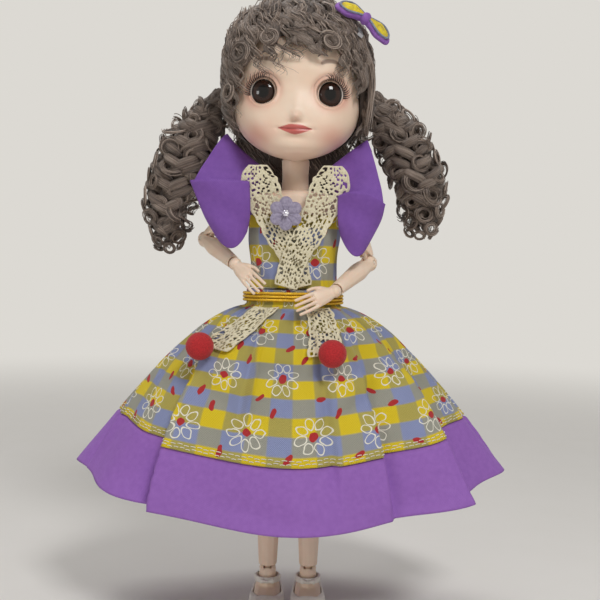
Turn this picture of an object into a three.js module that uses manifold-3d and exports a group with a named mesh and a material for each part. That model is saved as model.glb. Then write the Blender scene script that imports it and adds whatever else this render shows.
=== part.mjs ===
// Ball-jointed fashion doll, 30 cm tall, in a gingham party dress with a purple hem.
// Millimetres, +Z up. The doll faces -Y, and its own left side is +X.
// The origin is on the floor, under the middle of the doll.

import * as THREE from 'three';
import { mergeVertices } from 'three/addons/utils/BufferGeometryUtils.js';
import Module from 'manifold-3d';

const wasm = await Module();
wasm.setup();

// Fits
const GAP = 0.3;                  // between pieces that rest on each other
const JOINT_GAP = 0.45;           // round balls and pins
const VINYL_WALL = 1.8;           // hollow torso shells
const HEAD_WALL = 2.4;            // hollow head

// Legs
const ANKLE_HEIGHT = 20;
const SHIN_LENGTH = 53;
const THIGH_LENGTH = 65;
const LEG_SPACING = 20;
const HIP_RADIUS = 8.2;
const THIGH_RADIUS = 7.4;
const KNEE_RADIUS = 6.2;
const CALF_RADIUS = 6.4;
const ANKLE_RADIUS = 4.8;
const HIP_PEG_BALL = 4.2;
const HIP_PEG_SHAFT = 2.2;
const LEG_PIN = 1.2;
const LEG_TONGUE = 3.2;

// Feet and shoes
const FOOT_LENGTH = 38;
const FOOT_WIDTH = 15;
const HEEL_BEHIND_ANKLE = 13;
const SHOE_WALL = 1.3;
const SHOE_SOLE = 3;
const SHOE_RIM_HEIGHT = 11;
const STRAP_HEIGHT = 3;

// Torso
const HIP_TO_WAIST = 22;
const WAIST_TO_SHOULDER = 40;
const SHOULDER_TO_NECK = 6;
const SHOULDER_SPAN = 56;
const WAIST_HALF_WIDTH = 20;
const WAIST_HALF_DEPTH = 13.4;
const HIP_HALF_WIDTH = 21.5;
const HIP_HALF_DEPTH = 14;
const CHEST_HALF_WIDTH = 21;
const CHEST_HALF_DEPTH = 14;
const WAIST_PEG_RADIUS = 3;
const PEG_FLANGE_THICK = 1.4;
const PEG_FLANGE_LIP = 1.2;

// Arms
const UPPER_ARM_LENGTH = 28.6;
const FOREARM_LENGTH = 32;
const HAND_LENGTH = 22;
const SHOULDER_RADIUS = 5.4;
const UPPER_ARM_RADIUS = 3.9;
const ELBOW_RADIUS = 4.4;
const FOREARM_RADIUS = 4.7;
const WRIST_RADIUS = 3.3;
const SHOULDER_PEG_BALL = 3.1;
const SHOULDER_PEG_SHAFT = 1.6;
const ARM_PIN = 0.8;
const ARM_TONGUE = 2.4;
const WRIST_PEG_RADIUS = 1.5;
const WRIST_PEG_LENGTH = 5;
const PALM_WIDTH = 8;
const PALM_THICK = 4;
const FINGER_RADIUS = 1.05;

// Neck and head
const NECK_RADIUS = 7;
const NECK_LENGTH = 17;
const NECK_STEM = 2.4;
const HEAD_PEG_RADIUS = 4;
const CHIN_BELOW_NECK_TOP = 2;
const HEAD_HEIGHT = 73;
const HEAD_HALF_WIDTH = 31;
const FACE_DEPTH = 28.5;          // neck axis to forehead
const SKULL_DEPTH = 32;           // neck axis to back of skull
const HEAD_SPLIT = 9;             // seam behind the ears, back of the neck axis
const EYE_SPACING = 31;
const EYE_ABOVE_CHIN = 30;
const EYE_WIDTH = 12;
const EYE_HEIGHT = 12.6;
const EYEBALL_RADIUS = 7.4;
const NOSE_ABOVE_CHIN = 18.5;
const NOSE_LENGTH = 3.2;
const MOUTH_ABOVE_CHIN = 12.6;
const MOUTH_WIDTH = 13;
const EAR_HEIGHT = 13;
const EAR_WIDTH = 6.8;
const EAR_THICK = 3.8;

// Wig
const HAIR_THICK = 5;
const HAIRLINE_ABOVE_CHIN = 53;   // where the fringe leaves the crown
const FRINGE_DROP = 11;
const NAPE_ABOVE_CHIN = 16;
const BUNCH_WIDTH = 38;
const BUNCH_DEPTH = 34;
const BUNCH_ROOT_RISE = 22;       // above the nape
const BUNCH_ROOT_GAP = 2.1;
const BUNCH_SPREAD = 29;          // how far a bunch swings out from the crown
const BUNCH_BACK = 12;            // behind the head's seam
const BUNCH_RINGLETS = 7;
const BUNCH_LENGTH_LEFT = 76;
const BUNCH_LENGTH_RIGHT = 86;
const BACK_HAIR_LENGTH = 46;
const BOW_LOOP = 11;
const BOW_WIDTH = 9;

// Dress
const CLOTH = 1.2;
const BODICE_EASE = 0.5;
const BODICE_HEIGHT = 35;
const BELT_HEIGHT = 7.8;
const SKIRT_LENGTH = 80;
const HEM_LENGTH = 32;
const HEM_HALF_WIDTH = 103;
const HEM_HALF_DEPTH = 60;
const SKIRT_FOLDS = 8;
const FOLD_DEPTH = 3.5;
const CORD_DIAMETER = 1.5;
const CORD_TURNS = 3;
const CORD_PITCH = 2;
const RUFFLE_WIDTH = 25;
const LACE_WIDTH = 14;
const LACE_THICK = 1.2;
const TAIL_LENGTH = 32;
const POMPOM_RADIUS = 6.4;
const POMPOM_HANG = 0.5;           // its middle, beyond the scarf's end, as a share of its radius
const FLOWER_RADIUS = 8;
const FLOWER_THICK = 2.4;
const GEM_RADIUS = 1.9;

// Pose: which way each limb piece points from its upper joint
const UPPER_ARM_LEFT = [9, 4, -27];
const FOREARM_LEFT = [-18, -24, -14];
const HAND_LEFT = [-18, -12, -8];
const UPPER_ARM_RIGHT = [-16.4, 16, -16];
const FOREARM_RIGHT = [16.5, -24, -12];
const HAND_RIGHT = [11, -13, -10];

// Joint travel that the sockets are cut for, in degrees from the photographed pose
const SHOULDER_RAISE = [-6, 36];
const ELBOW_LEFT_TRAVEL = [-10, 45];
const ELBOW_RIGHT_TRAVEL = [-12, 12];
const HIP_SWING = [-28, 34];
const KNEE_TRAVEL = [0, 52];
const ANKLE_TRAVEL = [-22, 22];

// Worked-out heights
const KNEE_Z = ANKLE_HEIGHT + SHIN_LENGTH;
const HIP_Z = KNEE_Z + THIGH_LENGTH;
const WAIST_Z = HIP_Z + HIP_TO_WAIST;
const SHOULDER_Z = WAIST_Z + WAIST_TO_SHOULDER;
const NECK_Z = SHOULDER_Z + SHOULDER_TO_NECK;
const NECK_TOP_Z = NECK_Z + NECK_LENGTH;
const CHIN_Z = NECK_TOP_Z - CHIN_BELOW_NECK_TOP;

// Finishes
const finish = (color, roughness, metalness = 0) =>
  new THREE.MeshStandardMaterial({ color, roughness, metalness });
const VINYL = () => finish(0xf3dcc8, 0.5);
const HARD_PLASTIC = () => finish(0xefe6dc, 0.45);
const HAIR = () => finish(0x6e605b, 0.6);
const GINGHAM = () => finish(0xd8c63e, 0.85);
const PURPLE_CLOTH = () => finish(0x7a4fb0, 0.8);
const LACE = () => finish(0xe4dcc4, 0.9);
const GOLD_CORD = () => finish(0xc9982b, 0.35, 0.8);
const RED_WOOL = () => finish(0xc0232c, 0.95);
const SHOE_WHITE = () => finish(0xf4f2ee, 0.4);

const doll = new THREE.Group();
doll.name = 'fashion_doll';

function place(name, geometry, material, parent = doll) {
  const mesh = new THREE.Mesh(geometry, material);
  mesh.name = name;
  parent.add(mesh);
  return mesh;
}

// Mesh and solid helpers

const vec = (x, y, z) => new THREE.Vector3(x, y, z);
const rad = THREE.MathUtils.degToRad;
const lerp = THREE.MathUtils.lerp;

function welded(geometry) {
  const loose = geometry.index ? geometry.toNonIndexed() : geometry.clone();
  for (const name of Object.keys(loose.attributes)) {
    if (name !== 'position') loose.deleteAttribute(name);
  }
  const merged = mergeVertices(loose, 1e-4);
  const corners = merged.index.array;
  const kept = [];
  for (let i = 0; i < corners.length; i += 3) {
    const [a, b, c] = [corners[i], corners[i + 1], corners[i + 2]];
    if (a !== b && b !== c && c !== a) kept.push(a, b, c);
  }
  merged.setIndex(kept);
  return merged;
}

function toSolid(geometry) {
  const mesh = welded(geometry);
  return new wasm.Manifold(new wasm.Mesh({
    numProp: 3,
    vertProperties: new Float32Array(mesh.attributes.position.array),
    triVerts: new Uint32Array(mesh.index.array),
  }));
}

function toGeometry(solid) {
  const mesh = solid.getMesh();
  const geometry = new THREE.BufferGeometry();
  geometry.setAttribute('position', new THREE.BufferAttribute(new Float32Array(mesh.vertProperties), 3));
  geometry.setIndex(new THREE.BufferAttribute(new Uint32Array(mesh.triVerts), 1));
  return geometry;
}

// Skin over a row of rings with equal point counts: capped at both ends, or joined into a loop.
function skin(rings, looped = false) {
  const count = rings[0].length;
  const points = rings.flat();
  const index = [];
  const spans = looped ? rings.length : rings.length - 1;
  for (let r = 0; r < spans; r += 1) {
    const low = r * count;
    const high = ((r + 1) % rings.length) * count;
    for (let i = 0; i < count; i += 1) {
      const j = (i + 1) % count;
      index.push(low + i, low + j, high + j, low + i, high + j, high + i);
    }
  }
  if (!looped) {
    for (const [ring, flip] of [[0, true], [rings.length - 1, false]]) {
      const middle = rings[ring].reduce((sum, p) => sum.add(p), vec(0, 0, 0)).divideScalar(count);
      const hub = points.push(middle) - 1;
      for (let i = 0; i < count; i += 1) {
        const a = ring * count + i;
        const b = ring * count + ((i + 1) % count);
        index.push(...(flip ? [hub, b, a] : [hub, a, b]));
      }
    }
  }
  if (signedVolume(points, index) < 0) {
    for (let i = 0; i < index.length; i += 3) {
      [index[i], index[i + 1]] = [index[i + 1], index[i]];
    }
  }
  const geometry = new THREE.BufferGeometry().setFromPoints(points);
  geometry.setIndex(index);
  return geometry;
}

function signedVolume(points, index) {
  let total = 0;
  for (let i = 0; i < index.length; i += 3) {
    const [a, b, c] = [points[index[i]], points[index[i + 1]], points[index[i + 2]]];
    total += a.dot(vec(0, 0, 0).crossVectors(b, c));
  }
  return total;
}

function ellipseRing(z, halfWidth, halfDepth, sides, x = 0, y = 0) {
  return Array.from({ length: sides }, (_, i) => {
    const turn = (2 * Math.PI * (i + 0.5)) / sides;
    return vec(x + halfWidth * Math.cos(turn), y + halfDepth * Math.sin(turn), z);
  });
}

// Upright solid through rows of [z, half width, half depth, centre y].
function upright(rows, sides) {
  return skin(rows.map(([z, w, d, y = 0]) => ellipseRing(z, w, d, sides, 0, y)));
}

function ball(radius, at = vec(0, 0, 0), sides = 10) {
  const geometry = new THREE.SphereGeometry(radius, sides, Math.round(sides * 0.6));
  return toSolid(geometry.translate(at.x, at.y, at.z));
}

function ellipsoid(rx, ry, rz, at, sides = 16) {
  const geometry = new THREE.SphereGeometry(1, sides, Math.round(sides * 0.6));
  return toSolid(geometry.scale(rx, ry, rz).translate(at.x, at.y, at.z));
}

// Round bar between two points.
function bar(from, to, radius, sides = 8, endRadius = radius) {
  const along = to.clone().sub(from);
  const geometry = new THREE.CylinderGeometry(endRadius, radius, along.length(), sides);
  geometry.translate(0, along.length() / 2, 0);
  const turn = new THREE.Quaternion().setFromUnitVectors(vec(0, 1, 0), along.normalize());
  return toSolid(geometry.applyQuaternion(turn).translate(from.x, from.y, from.z));
}

function block(width, depth, height, at) {
  return toSolid(new THREE.BoxGeometry(width, depth, height).translate(at.x, at.y, at.z));
}

// Round tube along a smooth curve through points, with a radius for each share of its length.
function tube(points, radiusAt, steps, sides) {
  const curve = new THREE.CatmullRomCurve3(points);
  const frames = curve.computeFrenetFrames(steps, false);
  const rings = Array.from({ length: steps + 1 }, (_, s) => {
    const at = curve.getPointAt(s / steps);
    const radius = radiusAt(s / steps);
    return Array.from({ length: sides }, (_unused, i) => {
      const turn = (2 * Math.PI * i) / sides;
      return at.clone()
        .addScaledVector(frames.normals[s], radius * Math.cos(turn))
        .addScaledVector(frames.binormals[s], radius * Math.sin(turn));
    });
  });
  return skin(rings);
}

// Hollow for a ball: finer than the ball, so that the ball turns in it.
const cup = (radius, at, sides = 12) => ball(radius + JOINT_GAP, at, sides);
const clear = (radius) => radius + JOINT_GAP;

// Flat plate of the given thickness along X: an eye round the origin with an arm that fans out
// between two angles, measured from +Z towards +Y.
function fan(thick, eye, halfArm, reach, low, high) {
  const outline = new THREE.Shape();
  const corner = (angle, out, sideways) => {
    const turn = rad(angle);
    const [s, c] = [Math.sin(turn), Math.cos(turn)];
    return [out * s + sideways * c, out * c - sideways * s];
  };
  const points = [corner(high, 0, halfArm), corner(high, reach, halfArm)];
  const steps = Math.max(1, Math.ceil((high - low) / 25));
  for (let s = 1; s < steps; s += 1) {
    points.push(corner(lerp(high, low, s / steps), reach * 1.1, 0));
  }
  points.push(corner(low, reach, -halfArm), corner(low, 0, -halfArm));
  points.forEach(([y, z], i) => (i ? outline.lineTo(y, z) : outline.moveTo(y, z)));
  const arm = new THREE.ExtrudeGeometry(outline, { depth: thick, bevelEnabled: false });
  arm.applyMatrix4(new THREE.Matrix4().makeBasis(vec(0, 1, 0), vec(0, 0, 1), vec(1, 0, 0)));
  arm.translate(-thick / 2, 0, 0);
  return bar(vec(-thick / 2, 0, 0), vec(thick / 2, 0, 0), eye).add(toSolid(arm));
}

// Pinned ball joints. The hinge is the local X axis at the local origin; the upper limb is above it.

const ARM_OF_EYE = 0.75;           // a tongue's half width, as a share of its eye

const tongue = (thick, eye, reach) => fan(thick, eye, eye * ARM_OF_EYE, reach, 0, 0);

// Room that a tongue takes while the lower limb bends through its travel.
function tongueRoom(thick, eye, reach, [low, high]) {
  return fan(thick + 2 * GAP, eye + GAP, eye * ARM_OF_EYE + GAP, reach, low, high);
}

const pinBore = (radius, ballRadius) =>
  bar(vec(-2 * ballRadius, 0, 0), vec(2 * ballRadius, 0, 0), radius + GAP);

const hingePin = (radius, ballRadius) =>
  toGeometry(bar(vec(-0.8 * ballRadius, 0, 0), vec(0.8 * ballRadius, 0, 0), radius));

// Peg with a ball at the local origin, its shaft up the local Z axis and a flange inside the shell.
function ballPeg(ballRadius, shaft, flangeAt) {
  const flange = shaft + PEG_FLANGE_LIP;
  const stem = bar(vec(0, 0, 0), vec(0, 0, flangeAt + PEG_FLANGE_THICK), shaft);
  const disc = bar(vec(0, 0, flangeAt), vec(0, 0, flangeAt + PEG_FLANGE_THICK), flange);
  return toGeometry(ball(ballRadius).add(stem).add(disc));
}

// Room for a ball peg whose limb turns about the given axis through the ball.
function pegRoom(ballRadius, shaft, reach, shaftWay, axis, [low, high]) {
  const width = clear(shaft);
  const slot = toGeometry(fan(2 * width, width, width, reach, low, high));
  const across = axis.clone().cross(shaftWay);
  slot.applyMatrix4(new THREE.Matrix4().makeBasis(axis, across.negate(), shaftWay));
  return cup(ballRadius).add(toSolid(slot));
}

const moved = (solid, at) => solid.translate([at.x, at.y, at.z]);

// Torso shells, split front and back so that the pegs drop in

const HALF_SPACE = 200;

function halves(solid, at = 0) {
  const slab = block(2 * HALF_SPACE, HALF_SPACE, 4 * HALF_SPACE, vec(0, 0, 0));
  const front = slab.translate([0, at - GAP / 2 - HALF_SPACE / 2, 0]);
  const back = slab.translate([0, at + GAP / 2 + HALF_SPACE / 2, 0]);
  return [toGeometry(solid.intersect(front)), toGeometry(solid.intersect(back))];
}

const TORSO_SIDES = 16;
const CHEST_FLOOR_Z = WAIST_Z + GAP;
const PELVIS_TOP_Z = WAIST_Z - GAP;
const CHEST_TOP_Z = NECK_Z + 1.5;
const SHOULDER_TOP_Z = SHOULDER_Z + SHOULDER_RADIUS;

function chestRows(inset) {
  const w = (share) => CHEST_HALF_WIDTH * share - inset;
  const d = (share) => CHEST_HALF_DEPTH * share - inset;
  return [
    [CHEST_FLOOR_Z + inset, WAIST_HALF_WIDTH - inset, WAIST_HALF_DEPTH - inset],
    [WAIST_Z + WAIST_TO_SHOULDER * 0.3, w(0.93), d(0.92)],
    [WAIST_Z + WAIST_TO_SHOULDER * 0.62, w(1), d(1), -0.6],
    [SHOULDER_Z - SHOULDER_RADIUS, w(1), d(0.9)],
    [SHOULDER_TOP_Z - inset, w(0.99), d(0.74)],
  ];
}

function makeChest() {
  const neckBall = vec(0, 0, NECK_Z);
  const collar = [CHEST_TOP_Z, NECK_RADIUS + VINYL_WALL, NECK_RADIUS + VINYL_WALL];
  const outside = toSolid(upright([...chestRows(0), collar], TORSO_SIDES));
  const neckSeat = NECK_RADIUS + JOINT_GAP;
  const inside = toSolid(upright(chestRows(VINYL_WALL), TORSO_SIDES))
    .subtract(ball(neckSeat + VINYL_WALL, neckBall));
  const armBore = bar(vec(-SHOULDER_SPAN, 0, SHOULDER_Z), vec(SHOULDER_SPAN, 0, SHOULDER_Z),
    SHOULDER_PEG_SHAFT + GAP);
  const stemBore = bar(vec(0, 0, SHOULDER_Z - 2 * NECK_RADIUS), neckBall, neckStemRoom());
  const waistBore = bar(vec(0, 0, WAIST_Z - VINYL_WALL), vec(0, 0, WAIST_Z + 3 * VINYL_WALL),
    WAIST_PEG_RADIUS + GAP);
  const shell = outside.subtract(inside).subtract(cup(NECK_RADIUS, neckBall, 14))
    .subtract(armBore).subtract(stemBore).subtract(waistBore);
  const [front, back] = halves(shell);
  place('chest_front', front, VINYL());
  place('chest_back', back, VINYL());
}

// The stem swings a little under the neck ball as the head nods.
const NECK_NOD_ROOM = 1.1;
const neckStemRoom = () => NECK_STEM + NECK_NOD_ROOM + GAP;

function pelvisRows(inset) {
  const w = (share) => HIP_HALF_WIDTH * share - inset;
  const d = (share) => HIP_HALF_DEPTH * share - inset;
  return [
    [HIP_Z + HIP_RADIUS * 0.4 + inset, w(1), d(1)],
    [HIP_Z + HIP_RADIUS * 1.2, w(0.96), d(0.96)],
    [PELVIS_TOP_Z - inset, WAIST_HALF_WIDTH - inset, WAIST_HALF_DEPTH - inset],
  ];
}

const HIP_TURN_ROOM = 1.6;
const LEG_OPENING_RISE = 2.6;
const hipAt = (side) => vec((side * LEG_SPACING) / 2, 0, HIP_Z);

// Socket for the thigh's ball, with the shell cut away below it so that the thigh can swing.
function thighRoom(side) {
  const inner = LEG_SPACING / 2 - THIGH_RADIUS - JOINT_GAP - HIP_TURN_ROOM;
  const width = 2 * HIP_HALF_WIDTH;
  const drop = 4 * HIP_RADIUS;
  const opening = block(width, 4 * HIP_HALF_DEPTH, drop,
    vec(side * (inner + width / 2), 0, HIP_Z + LEG_OPENING_RISE - drop / 2));
  return cup(HIP_RADIUS, hipAt(side), 14).add(opening);
}

function makePelvis() {
  const crotch = [
    [HIP_Z - HIP_RADIUS, HIP_HALF_WIDTH * 0.3, HIP_HALF_DEPTH * 0.5],
    [HIP_Z - HIP_RADIUS * 0.4, HIP_HALF_WIDTH * 0.85, HIP_HALF_DEPTH * 0.85],
  ];
  const outside = toSolid(upright([...crotch, ...pelvisRows(0)], TORSO_SIDES));
  let shell = outside;
  let inside = toSolid(upright(pelvisRows(VINYL_WALL), TORSO_SIDES));
  for (const side of [1, -1]) {
    inside = inside.subtract(ball(HIP_RADIUS + JOINT_GAP + VINYL_WALL, hipAt(side)));
  }
  shell = shell.subtract(inside);
  for (const side of [1, -1]) {
    const up = hipAt(side).setZ(WAIST_Z - 2 * VINYL_WALL);
    shell = shell.subtract(thighRoom(side)).subtract(bar(hipAt(side), up, HIP_PEG_SHAFT + GAP));
  }
  shell = shell.subtract(bar(vec(0, 0, WAIST_Z - 3 * VINYL_WALL), vec(0, 0, WAIST_Z + VINYL_WALL),
    WAIST_PEG_RADIUS + GAP));
  const [front, back] = halves(shell);
  place('pelvis_front', front, VINYL());
  place('pelvis_back', back, VINYL());
}

// Spool that holds chest and pelvis together and lets the waist twist.
function makeWaistPeg() {
  const reach = GAP + VINYL_WALL + GAP;
  const flange = WAIST_PEG_RADIUS + PEG_FLANGE_LIP;
  let spool = bar(vec(0, 0, WAIST_Z - reach), vec(0, 0, WAIST_Z + reach), WAIST_PEG_RADIUS);
  for (const side of [1, -1]) {
    const inner = vec(0, 0, WAIST_Z + side * reach);
    const outer = vec(0, 0, WAIST_Z + side * (reach + PEG_FLANGE_THICK));
    spool = spool.add(bar(inner, outer, flange));
  }
  place('waist_peg', toGeometry(spool), HARD_PLASTIC());
}

// Neck with a ball below, a stem into the chest, and a flanged peg into the head.
const HEAD_SEAT_Z = NECK_TOP_Z + GAP;

function makeNeck() {
  const stemEnd = NECK_Z - NECK_RADIUS - JOINT_GAP - VINYL_WALL - GAP - NECK_NOD_ROOM;
  const column = toSolid(upright([
    [NECK_Z, NECK_RADIUS * 0.97, NECK_RADIUS * 0.97],
    [NECK_Z + NECK_LENGTH * 0.5, NECK_RADIUS * 0.93, NECK_RADIUS * 0.93],
    [NECK_TOP_Z, NECK_RADIUS, NECK_RADIUS],
  ], 14));
  const pegTop = HEAD_SEAT_Z + HEAD_WALL + GAP;
  const neck = ball(NECK_RADIUS, vec(0, 0, NECK_Z), 12).add(column)
    .add(bar(vec(0, 0, stemEnd - PEG_FLANGE_THICK), vec(0, 0, NECK_Z), NECK_STEM))
    .add(bar(vec(0, 0, stemEnd - PEG_FLANGE_THICK), vec(0, 0, stemEnd), NECK_STEM + 2 * PEG_FLANGE_LIP))
    .add(bar(vec(0, 0, NECK_Z), vec(0, 0, pegTop + PEG_FLANGE_THICK), HEAD_PEG_RADIUS))
    .add(bar(vec(0, 0, pegTop), vec(0, 0, pegTop + PEG_FLANGE_THICK), HEAD_PEG_RADIUS + PEG_FLANGE_LIP));
  place('neck', toGeometry(neck), VINYL());
}

// Limb frames: local -Z runs down the limb and local X is its lower hinge axis.

const pointing = (xyz) => vec(...xyz).normalize();

function limbFrame(origin, down, hinge) {
  const z = down.clone().negate();
  const y = z.clone().cross(hinge).normalize();
  return new THREE.Matrix4().makeBasis(y.clone().cross(z), y, z).setPosition(origin);
}

function limbGroup(frame) {
  const group = new THREE.Group();
  group.applyMatrix4(frame);
  doll.add(group);
  return group;
}

const LIMB_SIDES = 10;
const round = (rows) => toSolid(upright(rows.map(([z, r]) => [z, r, r]), LIMB_SIDES));

// Arms

const ELBOW_EYE = ELBOW_RADIUS * 0.62;

// The flange sits against the inside of the chest wall, which curves round in front and behind.
function shoulderPegReach() {
  const [, width, depth] = chestRows(VINYL_WALL).at(-1);
  const flange = SHOULDER_PEG_SHAFT + PEG_FLANGE_LIP;
  const flat = Math.cos(Math.PI / TORSO_SIDES);
  return SHOULDER_SPAN / 2 - width * flat * Math.sqrt(1 - (flange / depth) ** 2) + GAP;
}

function upperArm(toWorld, shaftWay, raiseAxis, lowerLimb, bend, travel) {
  const top = vec(0, 0, UPPER_ARM_LENGTH);
  const toLocal = new THREE.Matrix4().extractRotation(toWorld).transpose();
  const way = shaftWay.clone().applyMatrix4(toLocal);
  const axis = raiseAxis.clone().applyMatrix4(toLocal);
  let arm = round([
    [ELBOW_RADIUS * 0.7, UPPER_ARM_RADIUS * 0.95],
    [UPPER_ARM_LENGTH * 0.45, UPPER_ARM_RADIUS],
    [UPPER_ARM_LENGTH * 0.85, UPPER_ARM_RADIUS * 1.08],
  ]).add(ball(SHOULDER_RADIUS, top));
  const room = pegRoom(SHOULDER_PEG_BALL, SHOULDER_PEG_SHAFT, 3 * SHOULDER_RADIUS, way, axis, SHOULDER_RAISE);
  arm = arm.subtract(moved(room, top)).subtract(cup(ELBOW_RADIUS));
  for (const extra of [0, travel[1]]) {
    arm = arm.subtract(lowerLimb.rotate([bend + extra, 0, 0]));
  }
  arm = arm.add(tongue(ARM_TONGUE, ELBOW_EYE, ELBOW_RADIUS * 1.35));
  return toGeometry(arm.subtract(pinBore(ARM_PIN, ELBOW_RADIUS)));
}

function forearmBody(extra) {
  return round([
    [-ELBOW_RADIUS * 0.45, ELBOW_RADIUS * 0.84 + extra],
    [-FOREARM_LENGTH * 0.33, FOREARM_RADIUS + extra],
    [-FOREARM_LENGTH * 0.7, lerp(FOREARM_RADIUS, WRIST_RADIUS, 0.6) + extra],
    [-FOREARM_LENGTH + WRIST_RADIUS * 0.4, WRIST_RADIUS + extra],
  ]);
}

function forearm(bend, travel) {
  const slot = tongueRoom(ARM_TONGUE, ELBOW_EYE, 2 * ELBOW_RADIUS, [bend + travel[0], bend + travel[1]]);
  const wrist = vec(0, 0, -FOREARM_LENGTH);
  const boreEnd = vec(0, 0, -FOREARM_LENGTH + WRIST_RADIUS + WRIST_PEG_LENGTH + GAP);
  return toGeometry(forearmBody(0).add(ball(ELBOW_RADIUS)).subtract(slot)
    .subtract(pinBore(ARM_PIN, ELBOW_RADIUS))
    .subtract(cup(WRIST_RADIUS, wrist))
    .subtract(bar(wrist, boreEnd, WRIST_PEG_RADIUS + GAP)));
}

// Hand with slim, slightly curled fingers; local -Z points to the fingertips and +Y is the palm.
function hand(side, pegWay) {
  const palmEnd = -HAND_LENGTH * 0.5;
  const palm = skin([
    ellipseRing(-WRIST_RADIUS * 0.3, WRIST_RADIUS * 0.8, WRIST_RADIUS * 0.7, LIMB_SIDES),
    ellipseRing(palmEnd * 0.45, PALM_WIDTH * 0.46, PALM_THICK * 0.5, LIMB_SIDES),
    ellipseRing(palmEnd * 0.8, PALM_WIDTH * 0.5, PALM_THICK * 0.48, LIMB_SIDES),
    ellipseRing(palmEnd * 1.06, PALM_WIDTH * 0.44, PALM_THICK * 0.34, LIMB_SIDES),
  ]);
  const pegEnd = pegWay.clone().multiplyScalar(WRIST_RADIUS + WRIST_PEG_LENGTH);
  let solid = toSolid(palm).add(ball(WRIST_RADIUS)).add(bar(vec(0, 0, 0), pegEnd, WRIST_PEG_RADIUS));
  const lengths = [0.86, 0.98, 1, 0.92];
  lengths.forEach((share, i) => {
    const across = ((i - 1.5) / 4) * PALM_WIDTH;
    const tip = palmEnd + (palmEnd * share - FINGER_RADIUS) * 0.94;
    solid = solid.add(toSolid(tube([
      vec(across, 0, palmEnd * 0.85),
      vec(across * 1.12, 0.1, lerp(palmEnd, tip, 0.45)),
      vec(across * 1.15, FINGER_RADIUS * 1.7, tip),
    ], (t) => FINGER_RADIUS * (1 - 0.25 * t), 3, 5)));
  });
  const thumbSide = -side * PALM_WIDTH;
  solid = solid.add(toSolid(tube([
    vec(thumbSide * 0.3, 0.4, palmEnd * 0.35),
    vec(thumbSide * 0.62, 1.4, palmEnd * 0.75),
    vec(thumbSide * 0.66, 2.2, palmEnd * 1.15),
  ], (t) => FINGER_RADIUS * (1.25 - 0.4 * t), 3, 5)));
  return toGeometry(solid);
}

function makeArm(name, side, ways, travel) {
  const [upperWay, foreWay, handWay] = ways.map(pointing);
  const shoulder = vec((side * SHOULDER_SPAN) / 2, 0, SHOULDER_Z);
  const elbow = shoulder.clone().addScaledVector(upperWay, UPPER_ARM_LENGTH);
  const wrist = elbow.clone().addScaledVector(foreWay, FOREARM_LENGTH);
  const hinge = upperWay.clone().cross(foreWay).normalize();
  const bend = THREE.MathUtils.radToDeg(upperWay.angleTo(foreWay));
  const inward = vec(-side, 0, 0);

  const upperFrame = limbFrame(elbow, upperWay, hinge);
  const upperGroup = limbGroup(upperFrame);
  const geometry = upperArm(upperFrame, inward, vec(0, -side, 0), forearmBody(JOINT_GAP), bend, travel);
  place(`upper_arm_${name}`, geometry, VINYL(), upperGroup);

  const lowerGroup = limbGroup(limbFrame(elbow, foreWay, hinge));
  place(`forearm_${name}`, forearm(bend, travel), VINYL(), lowerGroup);
  place(`elbow_pin_${name}`, hingePin(ARM_PIN, ELBOW_RADIUS), HARD_PLASTIC(), lowerGroup);

  const handHinge = vec(0, 1, 0).cross(handWay.clone().negate()).normalize();
  const handFrame = limbFrame(wrist, handWay, handHinge);
  const handTurn = new THREE.Matrix4().extractRotation(handFrame).transpose();
  const pegWay = foreWay.clone().negate().applyMatrix4(handTurn);
  place(`hand_${name}`, hand(side, pegWay), VINYL(), limbGroup(handFrame));

  const pegFrame = limbFrame(shoulder, inward.clone().negate(), vec(0, 1, 0));
  place(`shoulder_peg_${name}`, ballPeg(SHOULDER_PEG_BALL, SHOULDER_PEG_SHAFT, shoulderPegReach()),
    HARD_PLASTIC(), limbGroup(pegFrame));
}

// Legs, straight down from the hips

const KNEE_EYE = KNEE_RADIUS * 0.6;
const ANKLE_EYE = ANKLE_RADIUS * 0.6;

function thigh() {
  const top = vec(0, 0, THIGH_LENGTH);
  const room = pegRoom(HIP_PEG_BALL, HIP_PEG_SHAFT, 3 * HIP_RADIUS, vec(0, 0, 1), vec(-1, 0, 0), HIP_SWING);
  return toGeometry(round([
    [KNEE_RADIUS * 0.75, KNEE_RADIUS * 0.97],
    [THIGH_LENGTH * 0.3, lerp(KNEE_RADIUS, THIGH_RADIUS, 0.6)],
    [THIGH_LENGTH * 0.65, THIGH_RADIUS],
    [THIGH_LENGTH - HIP_RADIUS * 0.45, THIGH_RADIUS * 0.94],
  ]).add(ball(HIP_RADIUS, top))
    .subtract(moved(room, top))
    .subtract(cup(KNEE_RADIUS))
    .add(tongue(LEG_TONGUE, KNEE_EYE, KNEE_RADIUS * 1.4))
    .subtract(pinBore(LEG_PIN, KNEE_RADIUS)));
}

function shin() {
  const ankle = vec(0, 0, -SHIN_LENGTH);
  const slot = tongueRoom(LEG_TONGUE, KNEE_EYE, 2 * KNEE_RADIUS, KNEE_TRAVEL);
  return toGeometry(round([
    [-SHIN_LENGTH + ANKLE_RADIUS * 0.72, ANKLE_RADIUS * 0.97],
    [-SHIN_LENGTH * 0.72, ANKLE_RADIUS * 1.1],
    [-SHIN_LENGTH * 0.32, CALF_RADIUS],
    [-KNEE_RADIUS * 0.5, KNEE_RADIUS * 0.86],
  ]).add(ball(KNEE_RADIUS))
    .subtract(slot)
    .subtract(pinBore(LEG_PIN, KNEE_RADIUS))
    .subtract(cup(ANKLE_RADIUS, ankle))
    .add(moved(tongue(LEG_TONGUE, ANKLE_EYE, ANKLE_RADIUS * 1.4), ankle))
    .subtract(moved(pinBore(LEG_PIN, ANKLE_RADIUS), ankle)));
}

// Foot rings run from heel to toe; z is measured from the ankle.
const FOOT_SIDES = 10;
const FOOT_FLOOR = -ANKLE_HEIGHT + SHOE_SOLE + GAP;

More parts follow.
